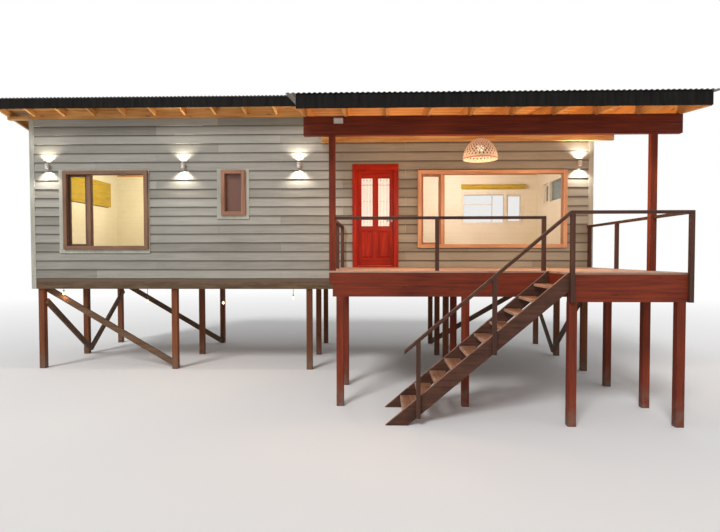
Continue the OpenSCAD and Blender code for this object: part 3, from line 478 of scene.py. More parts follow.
def clad_paint(name, along, start, way=1):
    """Paint on lapped boards: each has its own tone, with streaks along it and worn lower edges, and painted
    shade under each lap and over the lowest course
    """
    material, place = new_finish(name, {})
    up = (place.part("Z") - first_butt) / course
    row = up.floor()
    stagger = (row / 3).fraction() * board_l
    tone = place.of_board(row, (((place.part(along) - start) * way - stagger) / board_l).floor())
    up_board = up - row
    along_board = place.drawn(along, 1.0, 14)
    streak = along_board.noise(1.6, 6, 0.7)
    patch = place.noise(0.8, 3)
    shade = tone * 0.30 + streak * 0.40 + patch * 0.30
    colour = shade.ramp((0.30, (0.195, 0.182, 0.150)), (0.50, (0.290, 0.278, 0.240)),
                        (0.72, (0.400, 0.388, 0.350)))
    grime = (1 - up_board.between(0.0, 0.10)) * streak.between(0.35, 0.7) * 0.35
    # Painted shade: the top of each board, just under the butt of the board above, is darkened as that butt's
    # shadow.
    painted_lap_shade = up_board.between(0.76, 0.97) * 0.9
    # Painted shade: the lowest course takes the skirt's dark colour, standing for the shadow under the butt
    # above it.
    skirt_coloured_shade = 1 - row.between(0.4, 0.6)
    moss = patch.between(0.58, 0.74) * streak.between(0.45, 0.65) * 0.35
    for amount, tint in ((grime, (0.15, 0.13, 0.10)), (painted_lap_shade, (0.060, 0.046, 0.033)),
                         (skirt_coloured_shade, (0.105, 0.066, 0.040)), (moss, (0.16, 0.17, 0.085))):
        colour = amount.mix(colour, tint)
    colour.coats(streak * 0.25 + 0.5, streak + along_board.noise(7.0, 3) * 0.5, 0.0012)
    return material


wall_faces = {"front": corners[0][1] + clad_t, "back": corners[1][1] - clad_t,
              "left": corners[0][0] + clad_t, "right": corners[1][0] - clad_t}
clearance = 0.002
through = 0.1


def hole(side, start, end, z0, z1, more=clearance):
    """A cutter through the cladding of one side, a little larger than what stands in it"""
    low, high = [start - more, z0 - more], [end + more, z1 + more]
    across = 1 if side in ("front", "back") else 0
    low.insert(across, wall_faces[side] - through)
    high.insert(across, wall_faces[side] + through)
    return bar("cutter", low, high)


corner_gap = 0.001
top_gap = 0.004
front_l = corners[1][0] - corners[0][0] - 2 * (corner_w + corner_gap)
side_l = corners[1][1] - corners[0][1] - 2 * (corner_w + corner_gap)
front_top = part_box("front_wall_left")[1][2] - top_gap
back_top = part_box("back_wall")[1][2] - top_gap
roof_low, roof_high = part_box("main_rafters")
rafter_h = 0.120
roof_slope = (roof_high[2] - rafter_h - roof_low[2]) / (roof_high[1] - roof_low[1])

# The front cladding is cut round the frames of the door and windows with their trims, the deck's rim and
# the porch's ledger.
trims_x = {"left_window_frame": (-5.246, -3.318), "small_window_frame": (-1.893, -1.222)}
trim_up = 0.030
trim_down = 0.080
ledger_h = 0.130
cutters = []
for node in ("big_window_frame", "door_frame", "deck_rim"):
    low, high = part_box(node)
    cutters.append(hole("front", low[0], high[0], low[2], high[2]))
low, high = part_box("porch_beams")
cutters.append(hole("front", low[0], high[0] - clearance, high[2] - ledger_h, high[2]))
for node, (x0, x1) in trims_x.items():
    low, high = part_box(node)
    cutters.append(hole("front", x0, x1, low[2] - trim_down, high[2] + trim_up))
front = moved(cladding("front_cladding", front_l, front_top - skirt_top),
              -front_l / 2, wall_faces["front"], skirt_top)
settled(cut_by(front, cutters), clad_paint("front_cladding_paint", "X", -front_l / 2))

# The back and end claddings stop at the edges of their windows, and the ends follow the roof's slope and
# stop at the plates.
rear_low, rear_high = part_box("rear_window_frames")
back_window_mid = 4.553
back_window_w = 1.710
back_window_h = 0.895
end_window_h = 0.630
back_window_x0 = back_window_mid - back_window_w / 2
back_window_x1 = back_window_mid + back_window_w / 2
back = moved(cladding("back_cladding", front_l, back_top - skirt_top),
             front_l / 2, wall_faces["back"], skirt_top, turn=(0, 0, math.pi))
cut_by(back, [hole("back", back_window_x0, back_window_x1, rear_low[2], rear_low[2] + back_window_h)])
settled(back, clad_paint("back_cladding_paint", "X", front_l / 2, -1))

side_y0 = corners[0][1] + corner_w + corner_gap
side_y1 = corners[1][1] - corner_w - corner_gap
end_window_y1 = corners[0][1] + corners[1][1] - rear_low[1]
plate_in = 0.122
under_roof = 0.003
for side, start_y, way in (("left", side_y1, -1), ("right", side_y0, 1)):
    end = moved(cladding(side + "_cladding", side_l, roof_high[2] - skirt_top),
                wall_faces[side], start_y, skirt_top, turn=(0, 0, way * math.pi / 2))
    trimmed(end, (0, roof_low[1], roof_high[2] - under_roof), (0, roof_slope, 1))
    cutters = [hole(side, rear_low[1], end_window_y1, rear_high[2] - end_window_h, rear_high[2])]
    for y, out, top in ((corners[0][1] + plate_in, -1, front_top), (corners[1][1] - plate_in, 1, back_top)):
        cutters.append(hole(side, min(y, y + out), max(y, y + out), top + clearance, roof_high[2], 0))
    settled(cut_by(end, cutters), clad_paint(end.name + "_paint", "Y", start_y, way))

# Corner boards and window trims: planed boards painted a paler tone than the walls, nailed over the
# frames before the cladding, which butts against them.
trim_paint, place = new_finish("trim_paint", {"Roughness": 0.5})
worn = place.drawn("Z", 1.2, 14).noise(1.5, 6, 0.7)
tone = worn * 0.6 + place.noise(1.4, 3) * 0.4
tone.ramp((0.33, (0.27, 0.262, 0.215)), (0.62, (0.46, 0.450, 0.385))).coats(height=worn, rise=0.0008)
dress("corner_boards", trim_paint, 0.003)


def eased(piece, width, segments=1):
    """Bevels the sharp edges of a piece"""
    return modified(piece, "BEVEL", width=width, segments=segments, limit_method="ANGLE", angle_limit=sharp)


trim_t = 0.027
sill_out = 0.012
trim_joint = 0.0005
trim_face = wall_faces["front"]
for node, (x0, x1) in trims_x.items():
    low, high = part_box(node)
    outer = trim_face - trim_t
    top = high[2] + trim_up
    boards = [
        bar("trim", (x0, outer, low[2]), (low[0] - trim_joint, trim_face, top)),
        bar("trim", (high[0] + trim_joint, outer, low[2]), (x1, trim_face, top)),
        bar("trim", (x0, outer - sill_out, low[2] - trim_down), (x1, trim_face, low[2] - trim_joint)),
        bar("trim", (low[0], outer, high[2] + trim_joint), (high[0], trim_face, top))]
    settled(eased(joined(node.replace("frame", "trim"), boards), 0.002), trim_paint)

# Plates and rafters: planed pine under a clear finish, orange where the weather has aged it. The plates
# lie on the walls with blocks between the rafters, which are notched over them.
dress("wall_plates", timber("pine_x", "X", pine_dark, pine_light, roughness=0.45, knots=0.7), 0.003)
pine_y = timber("pine_y", "Y", pine_dark, pine_light, roughness=0.45, knots=0.7)
dress("main_rafters", pine_y, 0.002)
dress("porch_rafters", pine_y, 0.003)

# Soffit boards: tongued pine boards with V-grooved edges, nailed over the rafters and butted on them.
# They take the place of the plain layers, with the same slope and edges.
soffit_w = 0.118
soffit_t = 0.0185
soffit_joint = 0.0006
butt_joint = 0.001
groove = 0.006
bays = 5


def soffit(name, node, slope, first_joint, bay, finish):
    """Boards in place of a plain CAD layer, laid to its slope and trimmed to its edges"""
    low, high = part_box(node)
    angle = math.atan(slope)
    depth = (high[1] - low[1]) / math.cos(angle)
    long = bays * bay
    board = shaped(bar("board", (0, 0, 0), (long - butt_joint, soffit_w - soffit_joint, soffit_t)),
                   ("EDGE", lambda p, d: p.z < soffit_t / 4 and abs(d.x) > 1,
                    bpy.ops.mesh.bevel, {"offset": groove, "segments": 1, "affect": "EDGES"}))
    rows = []
    for row in range(3):
        one = copied(board, x=first_joint + bay * (2 * row - bays - 1), y=row * soffit_w)
        repeated(one, math.ceil((high[0] - low[0]) / long) + 2, x=long)
        rows.append(repeated(one, math.ceil(depth / soffit_w / 3) + 1, y=3 * soffit_w))
    discard(board)
    front_z = low[2] if slope > 0 else high[2] - board_t
    piece = moved(joined(name, rows), y=low[1], z=front_z, turn=(angle, 0, 0))
    for axis in (0, 1):
        for corner, out in ((low, -1), (high, 1)):
            trimmed(piece, corner, [out if i == axis else 0 for i in range(3)])
    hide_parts(node)
    return settled(piece, finish)


def soffit_finish(name, dark, light, slope):
    """Pine whose boards differ a little from one to the next"""
    material, place = new_finish(name, {"Roughness": 0.42, "Specular IOR Level": 0.3})
    row = (place.part("Y") / (soffit_w * math.cos(math.atan(slope)))).floor()
    tone = row.node("TexWhiteNoise", {"noise_dimensions": "1D"}, {"W": row})
    fibre = place.grain("X", 1.3, 30)
    shade = fibre * 0.65 + tone * 0.20 + place.noise(1.1, 2) * 0.20
    colour = shade.ramp((0.38, dark), (0.68, light))
    colour = knotted(place, colour, "X", 2.3, 0.15, 0.7, tuple(c * 0.4 for c in dark))
    colour.coats(height=fibre, rise=0.0012)
    return material


board_t = 0.020
main_joint = -5.748
main_bays = 18
main_bay = -2 * main_joint / main_bays
porch_low, porch_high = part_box("porch_rafters")
porch_rafter_w = 0.050
porch_bays = 9
porch_bay = (porch_high[0] - porch_low[0] - porch_rafter_w) / porch_bays
porch_slope = 0.11
main_pine = soffit_finish("main_soffit_pine", (0.30, 0.145, 0.050), (0.58, 0.34, 0.13), roof_slope)
porch_pine = soffit_finish("porch_soffit_pine", pine_dark, pine_light, porch_slope)
soffit("main_soffit", "main_roof_boards", -roof_slope, main_joint, main_bay, main_pine)
porch_joint = porch_low[0] + porch_rafter_w / 2
soffit("porch_soffit", "porch_roof_boards", porch_slope, porch_joint, porch_bay, porch_pine)

# Roof sheets: long sheets of thin zinc-coated steel rolled in waves, ten waves to a sheet with half a
# wave lapped over the next, and screwed down through the crests.
ripple = 0.0762
wave_h = 0.0142
wave_steps = 8
sheet_waves = 10
sheet_t = 0.0008
lap_up = 0.0011
sheet_short = 0.004
drip_in = 0.003
end_screw = 0.15


def drawn_out(x=0.0, y=0.0, z=0.0):
    """The settings that extrude what is picked this far"""
    return {"TRANSFORM_OT_translate": {"value": (x, y, z)}}


def one_sheet(length):
    """A sheet on z 0 from x 0, running to +Y"""
    bpy.ops.object.select_all(action="DESELECT")
    bpy.ops.mesh.primitive_grid_add(x_subdivisions=wave_steps, y_subdivisions=1, size=1,
                                    location=(ripple / 2, length / 2, 0))
    bpy.context.object.scale = (ripple, length, 1)
    wave = bake_place(bpy.context.object)
    for column in range(wave_steps + 1):
        share = column / wave_steps
        rise = wave_h * (1 - math.cos(2 * math.pi * share)) / 2
        shaped(wave, ("VERT", lambda p, n: abs(p.x - share * ripple) < ripple / wave_steps / 4,
                      bpy.ops.transform.translate, {"value": (0, 0, rise)}))
    repeated(wave, sheet_waves + 1, x=ripple, use_merge_vertices=True, merge_threshold=0.001)
    trimmed(wave, (ripple * (sheet_waves + 0.5), 0, 0), (1, 0, 0), closed=False)
    return modified(wave, "SOLIDIFY", thickness=sheet_t, offset=1.0)


def roof_screw():
    """A six-sided screw head on its washer, open below"""
    bpy.ops.object.select_all(action="DESELECT")
    bpy.ops.mesh.primitive_cylinder_add(vertices=6, radius=0.0095, depth=0.002, location=(0, 0, 0.001))
    return shaped(
        bake_place(bpy.context.object),
        ("FACE", lambda p, n: n.z > 0.9, bpy.ops.mesh.inset, {"thickness": 0.0035}),
        (None, None, bpy.ops.mesh.extrude_region_move, drawn_out(z=0.004)),
        ("FACE", lambda p, n: n.z < -0.9, bpy.ops.mesh.delete, {"type": "FACE"}))


def roof(name, node, slope, front_z, rows):
    """Lapped sheets and their screws in place of a plain CAD sheet with this height at its front edge"""
    low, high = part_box(node)
    angle = math.atan(slope)
    wide = high[0] - low[0]
    length = (high[1] - low[1] - 2 * sheet_short) / math.cos(angle)
    cover = sheet_waves * ripple
    count = math.ceil(wide / cover / 2)
    sheet = one_sheet(length)
    layers = [repeated(copied(sheet, x=x, z=z), count, x=2 * cover) for x, z in ((0, 0), (cover, lap_up))]
    discard(sheet)
    sheets = joined(name, layers)
    screws = moved(roof_screw(), ripple * 1.5, end_screw, wave_h + sheet_t)
    repeated(screws, int(wide / ripple / 2), x=2 * ripple)
    repeated(screws, rows, y=(length - 2 * end_screw) / (rows - 1))
    screws.name = name + "_screws"
    for piece in (sheets, screws):
        moved(piece, low[0], low[1] + drip_in, front_z + sheet_t, turn=(angle, 0, 0))
        trimmed(piece, high, (1, 0, 0))
    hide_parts(node)
    settled(sheets, zinc, smooth=50)
    settled(screws, hardware_zinc)


def speckled(name, scale, dark, light, fixed, detail=2, rough=None, spread=0.0):
    """A finish with fine specks between two tones, whose roughness spreads with them if wanted"""
    material, place = new_finish(name, fixed)
    speck = place.noise(scale, detail)
    speck.ramp((0.3, dark), (0.7, light)).coats(speck * spread + rough if spread else None)
    return material


zinc, place = new_finish("roof_zinc", {"Metallic": 0.25, "Specular IOR Level": 0.15})
spangle = place.node("TexVoronoi", {}, {"Vector": place, "Scale": 60.0}, 1)
streak = place.stretched([9, 0.35, 1]).noise(1.1, 4, 0.55)
stained = streak.between(0.56, 0.80) * 0.45
tone = spangle.part("X") * 0.25 + streak * 0.75
colour = stained.mix(tone.ramp((0.3, (0.27, 0.28, 0.29)), (0.7, (0.42, 0.43, 0.44))), (0.19, 0.15, 0.12))
colour.coats(stained * 0.2 + spangle.part("Y") * 0.08 + 0.66)
hardware_zinc = speckled("hardware_zinc", 60.0, (0.26, 0.26, 0.26), (0.50, 0.50, 0.49), {"Metallic": 0.85},
                         3, 0.3, 0.3)
cad_sheet_h = 0.0167
sheet_low, sheet_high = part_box("porch_roof_sheet")
roof("main_roof", "main_roof_sheet", -roof_slope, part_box("main_roof_sheet")[1][2] - cad_sheet_h, 6)
roof("porch_roof", "porch_roof_sheet", porch_slope, sheet_low[2], 5)

# Fascias: black painted boards nailed over the rafters' ends, a little streaked below the sheet's drip.
# A folded zinc flashing covers the top of the porch sheet where it meets the wall.
fascia_black, place = new_finish("fascia_black", {"Specular IOR Level": 0.06})
drip = place.drawn("Z", 1.1, 9).noise(1.6, 6, 0.7)
black = drip.ramp((0.35, (0.005, 0.0045, 0.004)), (0.72, (0.020, 0.018, 0.016)))
black.coats(drip * 0.35 + 0.4, drip, 0.0008)
dress("main_fascia", fascia_black, 0.003)
dress("porch_fascia", fascia_black, 0.003)

flange = 0.13
upstand = 0.10
fold_t = 0.0012
flange_z = sheet_high[2] - 0.001
extrude = bpy.ops.mesh.extrude_region_move
flashing = shaped(
    bar("porch_flashing", (sheet_low[0], wall_y - flange, flange_z),
        (corners[1][0], wall_y - fold_t, flange_z + fold_t)),
    ("FACE", lambda p, n: n.y > 0.9, extrude, drawn_out(y=fold_t)),
    ("FACE", lambda p, n: n.z > 0.9 and p.y > wall_y - 2 * fold_t, extrude, drawn_out(z=upstand)),
    ("VERT", lambda p, n: p.y < wall_y - flange / 2,
     bpy.ops.transform.translate, {"value": (0, 0, -flange * porch_slope)}))
settled(flashing, zinc)

# Window frames: heavy planed timber, butted at the corners and standing proud of the cladding. The left
# one has a rosy brown stain, the small one is redder, and the big one under the porch is faded to tan.
member = 0.075


def crossed(place, level, lengthwise, across):
    """Fibres that run level where this field is 1, and upright where it is 0"""
    return level * place.grain("X", lengthwise, across) + (1 - level) * place.grain("Z", lengthwise, across)


def frame_stain(name, node, dark, light):
    """Stain on a frame of upright and level members, with the grain along each"""
    low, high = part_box(node)
    material, place = new_finish(name, {"Specular IOR Level": 0.25})
    up = (place.part("Z") - (low[2] + high[2]) / 2).unsigned()
    aside = (place.part("X") - (low[0] + high[0]) / 2).unsigned()
    edge_z = (high[2] - low[2]) / 2 - member
    edge_x = (high[0] - low[0]) / 2 - member
    level = up.between(edge_z, edge_z + 0.0005) * (1 - aside.between(edge_x - 0.0005, edge_x))
    fibre = crossed(place, level, 1.2, 26)
    tone = fibre * 0.7 + place.noise(1.2, 3) * 0.3
    tone.ramp((0.36, dark), (0.68, light)).coats(fibre * 0.3 + 0.42, fibre, 0.0014)
    return material


rosy_dark, rosy_light = (0.135, 0.066, 0.038), (0.31, 0.175, 0.110)
for node, stain, dark, light in (
        ("left_window_frame", "rosy_stain", rosy_dark, rosy_light),
        ("small_window_frame", "ruddy_stain", (0.19, 0.085, 0.052), (0.42, 0.225, 0.145)),
        ("big_window_frame", "tan_stain", (0.42, 0.20, 0.115), (0.72, 0.44, 0.28))):
    dress(node, frame_stain(stain, node, dark, light), 0.004)

# Frames and sashes of the other windows: the left end window is stained as its neighbour is, and those of
# the right room are painted cream as the lining. Sashes are slimmer, dark, and tan in the big window.
behind_front = 0.30
right_end = 5.70
back_window_from = 3.0
big_window_from = 0.0


def sash_finish(name, dark, light, big_dark, big_light):
    """Stain that changes with the window that a member is in"""
    material, place = new_finish(name, {"Roughness": 0.5})
    fibre = place.grain("Z", 1.2, 20)
    at_end = place.part("X").between(right_end, right_end + 0.01)
    behind = place.part("Y").between(behind_front, behind_front + 0.01)
    at_back = behind * place.part("X").between(back_window_from, back_window_from + 0.1)
    at_big = place.part("X").between(big_window_from, big_window_from + 0.1) * (1 - behind) * (1 - at_end)
    stain = fibre.ramp((0.36, dark), (0.68, light))
    faded = fibre.ramp((0.36, big_dark), (0.68, big_light))
    cream = fibre.ramp((0.36, (0.74, 0.68, 0.54)), (0.68, (0.84, 0.79, 0.66)))
    at_back.mix(at_big.mix(stain, faded), cream).coats(height=fibre, rise=0.0012)
    return material


rear_stain = sash_finish("rear_stain", rosy_dark, rosy_light, rosy_dark, rosy_light)
dress("rear_window_frames", rear_stain, 0.004)
dress("window_sashes", sash_finish("sash_stain", (0.055, 0.022, 0.014), (0.135, 0.060, 0.036),
                                   (0.27, 0.10, 0.055), (0.48, 0.225, 0.13)), 0.003)

# Window panes: clear float glass puttied into the sashes and frames, rosy obscured glass in the small one.
# Two thin glazing bars divide the back window's fixed pane.
clear_glass, place = new_finish("clear_glass", {})
gloss = place.node("Fresnel", {}, {"IOR": 1.45})
low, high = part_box("small_window_frame")
in_front = 1 - place.part("Y").between(behind_front, behind_front + 0.01)
obscured = place.part("X").within(low[0], high[0], 0.01) * in_front
obscured.mix((0.20, 0.24, 0.23), (0.17, 0.072, 0.052)).coats(
    place.noise(3.0, 4).between(0.45, 0.8) * 0.05 + obscured * 0.25 + 0.03)
((gloss * 0.85 + 0.03) * (1 - obscured) + obscured * 0.88).feeds("Alpha")
dress("window_glass", clear_glass, 0)

glazing_w = 0.022
upright_t = 0.024
level_t = 0.020
glazing_x = 4.546
glazing_y = corners[1][1] - 0.0525
glazing_z = 3.79
fixed_x0 = back_window_x0 + member
upright_x0 = glazing_x - glazing_w / 2
glazing = joined("back_glazing_bars", [
    bar("upright", (upright_x0, glazing_y - upright_t / 2, rear_low[2] + member),
        (glazing_x + glazing_w / 2, glazing_y + upright_t / 2, rear_low[2] + back_window_h - member)),
    bar("level", (fixed_x0, glazing_y - level_t / 2, glazing_z - glazing_w / 2),
        (upright_x0, glazing_y + level_t / 2, glazing_z + glazing_w / 2))])
settled(eased(glazing, 0.003), rear_stain)

# Blinds: split bamboo slats tied with thin cords. The back window's is rolled up over its head, and the
# left end window's hangs down from a rail on the wall.


def bamboo(name, along):
    """Split bamboo, golden, with darker joints and streaks along it"""
    material, place = new_finish(name, {"Roughness": 0.42, "Specular IOR Level": 0.2})
    streak = place.drawn(along, 1.6, 90).noise(1.0, 4, 0.6)
    joints = place.drawn(along, 3.2, 45).noise(1.0, 1).between(0.62, 0.68)
    colour = streak.ramp((0.32, (0.42, 0.27, 0.008)), (0.68, (0.72, 0.50, 0.020)))
    (joints * 0.5).mix(colour, (0.25, 0.12, 0.03)).coats(height=streak)
    return material


roll_r = 0.065
roll_y = corners[1][1] - plate_in - roll_r
roll_z = rear_low[2] + back_window_h + 2 * roll_r
slats = []
for turn_r, count in ((0.0620, 33), (0.0545, 29), (0.0470, 25)):
    slat = bar("slat", (back_window_x0, -0.0052, turn_r - 0.002), (back_window_x1, 0.0052, turn_r + 0.002))
    slats += [copied(slat, turn=(2 * math.pi * step / count, 0, 0)) for step in range(count)]
    discard(slat)
rolled = moved(joined("rolled_blind", slats), y=roll_y, z=roll_z)
settled(rolled, bamboo("bamboo_x", "X"))
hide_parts("window_blinds")

blind_low, blind_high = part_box("window_blinds")
hang_x = blind_low[0] + 0.010
hang_y0 = blind_low[1]
hang_y1 = corners[0][1] + corners[1][1] - hang_y0
string_in = 0.06
string_count = 10
string_t = 0.0016
string_w = 0.0024
ties = []
for share in (0.12, 0.5, 0.88):
    bpy.ops.object.select_all(action="DESELECT")
    bpy.ops.mesh.primitive_torus_add(
        major_radius=roll_r - 0.0006, minor_radius=0.0018, major_segments=28, minor_segments=6,
        rotation=(0, math.pi / 2, 0), location=(back_window_x0 + back_window_w * share, roll_y, roll_z))
    ties.append(bake_place(bpy.context.object))
for number in range(string_count):
    y = hang_y0 + string_in + (hang_y1 - hang_y0 - 2 * string_in) * number / (string_count - 1)
    for x in (hang_x - 0.0028, hang_x + 0.0028):
        ties.append(bar("string", (x - string_t / 2, y - string_w / 2, blind_low[2]),
                        (x + string_t / 2, y + string_w / 2, blind_high[2])))
cotton = speckled("cotton", 300.0, (0.40, 0.30, 0.16), (0.62, 0.50, 0.32), {"Roughness": 0.9})
settled(joined("blind_ties", ties), cotton)

slat_pitch = 0.0100
slat_count = 59
first_slat = blind_low[2] + 0.014
hanging = bar("hanging_blind", (hang_x - 0.002, hang_y0, first_slat),
              (hang_x + 0.002, hang_y1, first_slat + slat_pitch * 0.86))
repeated(hanging, slat_count, z=slat_pitch)
rails = []
for x0, x1, z0, z1 in ((blind_low[0], blind_low[0] + 0.020, blind_high[2] - 0.024, blind_high[2]),
                       (hang_x - 0.006, hang_x + 0.006, blind_low[2], blind_low[2] + 0.013),
                       (hang_x - 0.004, hang_x + 0.004, blind_low[2] + 0.055, blind_low[2] + 0.060)):
    rails.append(bar("rail", (x0, hang_y0, z0), (x1, hang_y1, z1)))
hanging = joined("hanging_blind", [hanging, eased(joined("rails", rails), 0.002)])
settled(hanging, bamboo("bamboo_y", "Y"))

# Door: a framed and panelled leaf with raised panels below and two tall frosted panes above, hung on
# three hinges in a rebated frame with a wide casing. All of it has the same thick red varnish.


def varnish(name, node, levels, stile):
    """Red varnish over timber, with the grain level in the rails, which lie between these heights"""
    low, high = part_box(node)
    gloss = {"Coat Weight": 0.10, "Coat Roughness": 0.25, "Specular IOR Level": 0.2}
    material, place = new_finish(name, gloss)
    aside = (place.part("X") - (low[0] + high[0]) / 2).unsigned()
    edge = (high[0] - low[0]) / 2 - stile
    level = sum(place.part("Z").within(z0, z1, 0.0003) for z0, z1 in levels)
    fibre = crossed(place, level * (1 - aside.between(edge - 0.0003, edge)), 1.3, 24)
    tone = fibre * 0.75 + place.noise(1.4, 3) * 0.25
    red = tone.ramp((0.34, (0.17, 0.007, 0.002)), (0.55, (0.36, 0.017, 0.003)), (0.75, (0.56, 0.045, 0.008)))
    red.coats(fibre * 0.25 + 0.30, fibre, 0.0010)
    return material


leaf_stile = 0.085
foot_rail_h = 0.160
lock_rail = (0.710, 0.820)
head_rail_h = 0.150
casing_h = 0.125
leaf_low, leaf_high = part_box("door_leaf")
leaf_rails = [(leaf_low[2], leaf_low[2] + foot_rail_h), [leaf_low[2] + z for z in lock_rail],
              (leaf_high[2] - head_rail_h, leaf_high[2])]
dress("door_leaf", varnish("leaf_varnish", "door_leaf", leaf_rails, leaf_stile), 0.0025)
head_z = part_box("door_frame")[1][2] - casing_h
dress("door_frame", varnish("frame_varnish", "door_frame", [(head_z, head_z + 0.2)], 0.0), 0.003)

satin_steel, place = new_finish("satin_steel", {"Metallic": 1.0})
scratch = place.drawn("Z", 400, 60).noise(1.0, 3)
scratch.ramp((0.3, (0.42, 0.41, 0.39)), (0.7, (0.66, 0.65, 0.62))).coats(scratch * 0.2 + 0.22)
for node in ("door_handle", "jamb_hinges", "leaf_hinges"):
    dress(node, satin_steel, 0.001)

# The frosted panes have a painted glow, standing for the room's light behind them.
painted_room_glow = {"Emission Color": (1.0, 0.97, 0.92, 1), "Emission Strength": 0.28}
frosted, place = new_finish("frosted_glass", painted_room_glow)
ice = place.noise(220.0, 3)
ice.ramp((0.3, (0.72, 0.73, 0.72)), (0.7, (0.84, 0.85, 0.83))).coats(ice * 0.3 + 0.2, ice, 0.0006)
dress("door_glass", frosted, 0)

# Door grilles: thin dark iron rods in front of each pane, tied by two cross bars and threaded through
# small turned knops. Their ends are let into the rails.


def turned(name, profile, segments, solid=True):
    """A round piece about the Z axis, or its open wall alone, drawn up through radii and heights"""
    bpy.ops.object.select_all(action="DESELECT")
    bpy.ops.mesh.primitive_circle_add(vertices=segments, radius=profile[0][0], location=(0, 0, profile[0][1]),
                                      fill_type="NGON" if solid else "NOTHING")
    piece = bake_place(bpy.context.object)
    piece.name = name
    bpy.ops.object.mode_set(mode="EDIT")
    bpy.ops.mesh.select_all(action="SELECT")
    extrude = bpy.ops.mesh.extrude_region_move if solid else bpy.ops.mesh.extrude_edges_move
    for (r0, z0), (r1, z1) in zip(profile, profile[1:]):
        extrude(**drawn_out(z=z1 - z0))
        bpy.ops.transform.resize(value=(r1 / r0, r1 / r0, 1), center_override=(0, 0, z1))
    bpy.ops.mesh.select_all(action="SELECT")
    bpy.ops.mesh.normals_make_consistent(inside=False)
    bpy.ops.object.mode_set(mode="OBJECT")
    return piece


glass_low, glass_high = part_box("door_glass")
pane_w = 0.230
rod_step = 0.064
knop_zs = (3.095, 3.524, 3.966)
cross_zs = (3.145, 3.865)
cross_h = 0.006
grille_y = glass_low[1] - 0.0075
knop = turned("knop", [
    (0.0022, -0.0135), (0.0042, -0.012), (0.0042, -0.010), (0.0030, -0.009), (0.0056, -0.004),
    (0.0056, 0.004), (0.0030, 0.009), (0.0042, 0.010), (0.0042, 0.012), (0.0022, 0.0135)], 10)
rod = turned("rod", [(0.0016, glass_low[2]), (0.0016, glass_high[2])], 8)
iron = []
for middle in (glass_low[0] + pane_w / 2, glass_high[0] - pane_w / 2):
    for x in (middle - rod_step, middle, middle + rod_step):
        iron.append(copied(rod, x=x, y=grille_y))
        iron += [copied(knop, x=x, y=grille_y, z=z) for z in knop_zs]
    for z in cross_zs:
        iron.append(bar("cross", (middle - pane_w / 2, grille_y - 0.0025, z - cross_h / 2),
                        (middle + pane_w / 2, grille_y + 0.0015, z + cross_h / 2)))
discard(knop, rod)
dark_iron = speckled("dark_iron", 90.0, (0.015, 0.012, 0.010), (0.05, 0.043, 0.036),
                     {"Metallic": 0.6, "Roughness": 0.5}, 3)
settled(joined("door_grilles", iron), dark_iron, "door", smooth=40)

# Wall lamps: short spun metal tubes that light the wall above and below through recessed lenses, each
# on an arm with a back plate screwed to the cladding.
lamp_low, lamp_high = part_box("wall_lamps")
lamp_xs = (-5.457, -2.587, -0.174, 5.567)
lamp_r = 0.040
lamp_y = lamp_low[1] + lamp_r
lamp_z = (lamp_low[2] + lamp_high[2]) / 2
half_h = (lamp_high[2] - lamp_low[2]) / 2
recess = 0.010
to_wall = wall_y - lamp_y
tube = turned("tube", [
    (0.034, -half_h + recess), (0.035, -half_h + 0.001), (0.037, -half_h), (lamp_r, -half_h + 0.003),
    (lamp_r, -0.012), (0.0385, -0.010), (0.0385, 0.010), (lamp_r, 0.012), (lamp_r, half_h - 0.003),
    (0.037, half_h), (0.035, half_h - 0.001), (0.034, half_h - recess)], 32)
lens = turned("lens", [(0.033, -0.0012), (0.033, 0.0006), (0.024, 0.0030), (0.010, 0.0042)], 24)
arm = bar("arm", (-0.014, lamp_r - 0.004, -0.014), (0.014, to_wall - 0.004, 0.014))
plate = bar("plate", (-0.028, to_wall - 0.008, -0.042), (0.028, to_wall, 0.042))
body = joined("body", [tube, eased(arm, 0.003, 2), eased(plate, 0.004, 2)])
bodies = [copied(body, x=x, y=lamp_y, z=lamp_z) for x in lamp_xs]
lenses = []
for x in lamp_xs:
    lenses.append(copied(lens, x=x, y=lamp_y, z=lamp_z + half_h - recess))
    lenses.append(copied(lens, x=x, y=lamp_y, z=lamp_z - half_h + recess, turn=(math.pi, 0, 0)))
discard(body, lens)


def glowing(name, base, glow, strength, scale, rough):
    """A lit lens or bulb, whose glass is a little rougher here and there"""
    material, place = new_finish(name, {
        "Base Color": (*base, 1), "Emission Color": (*glow, 1), "Emission Strength": strength})
    (place.noise(scale, 2) * rough + rough).feeds("Roughness")
    return material


lamp_paint = speckled("lamp_paint", 400.0, (0.50, 0.46, 0.43), (0.66, 0.62, 0.58), {"Metallic": 0.3},
                      rough=0.35, spread=0.2)
lit_lens = glowing("lit_lens", (0.9, 0.88, 0.82), (1.0, 0.95, 0.86), 1.0, 200.0, 0.2)
bodies = settled(joined("wall_lamp_bodies", bodies), lamp_paint, smooth=40)
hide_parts("wall_lamps")
settled(joined("wall_lamp_lenses", lenses), lit_lens, smooth=40)

# Floodlight on the porch beam: a shallow die-cast box with cooling fins along its top, a bezel round its
# glass, and a bent strap that holds it to the beam.
flood_low, flood_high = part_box("floodlight")
bezel = 0.010
fin_h = 0.014
fin_t = 0.0025
fin_in = 0.008
fin_count = 14
strap_t = 0.003
flood_bottom = flood_low[2] + 0.004
flood_top = flood_high[2] - fin_h
flood_back = flood_high[1] - 0.010
flood = shaped(
    bar("floodlight_body", (flood_low[0], flood_low[1] + 0.002, flood_bottom),
        (flood_high[0], flood_back, flood_top)),
    ("FACE", lambda p, n: n.y < -0.9, bpy.ops.mesh.inset, {"thickness": bezel}),
    (None, None, bpy.ops.mesh.extrude_region_move, drawn_out(y=0.006)))
eased(flood, 0.003, 2)
fin = bar("fin", (flood_low[0] + fin_in, flood_low[1] + 0.008, flood_top),
          (flood_low[0] + fin_in + fin_t, flood_high[1] - 0.012, flood_high[2]))
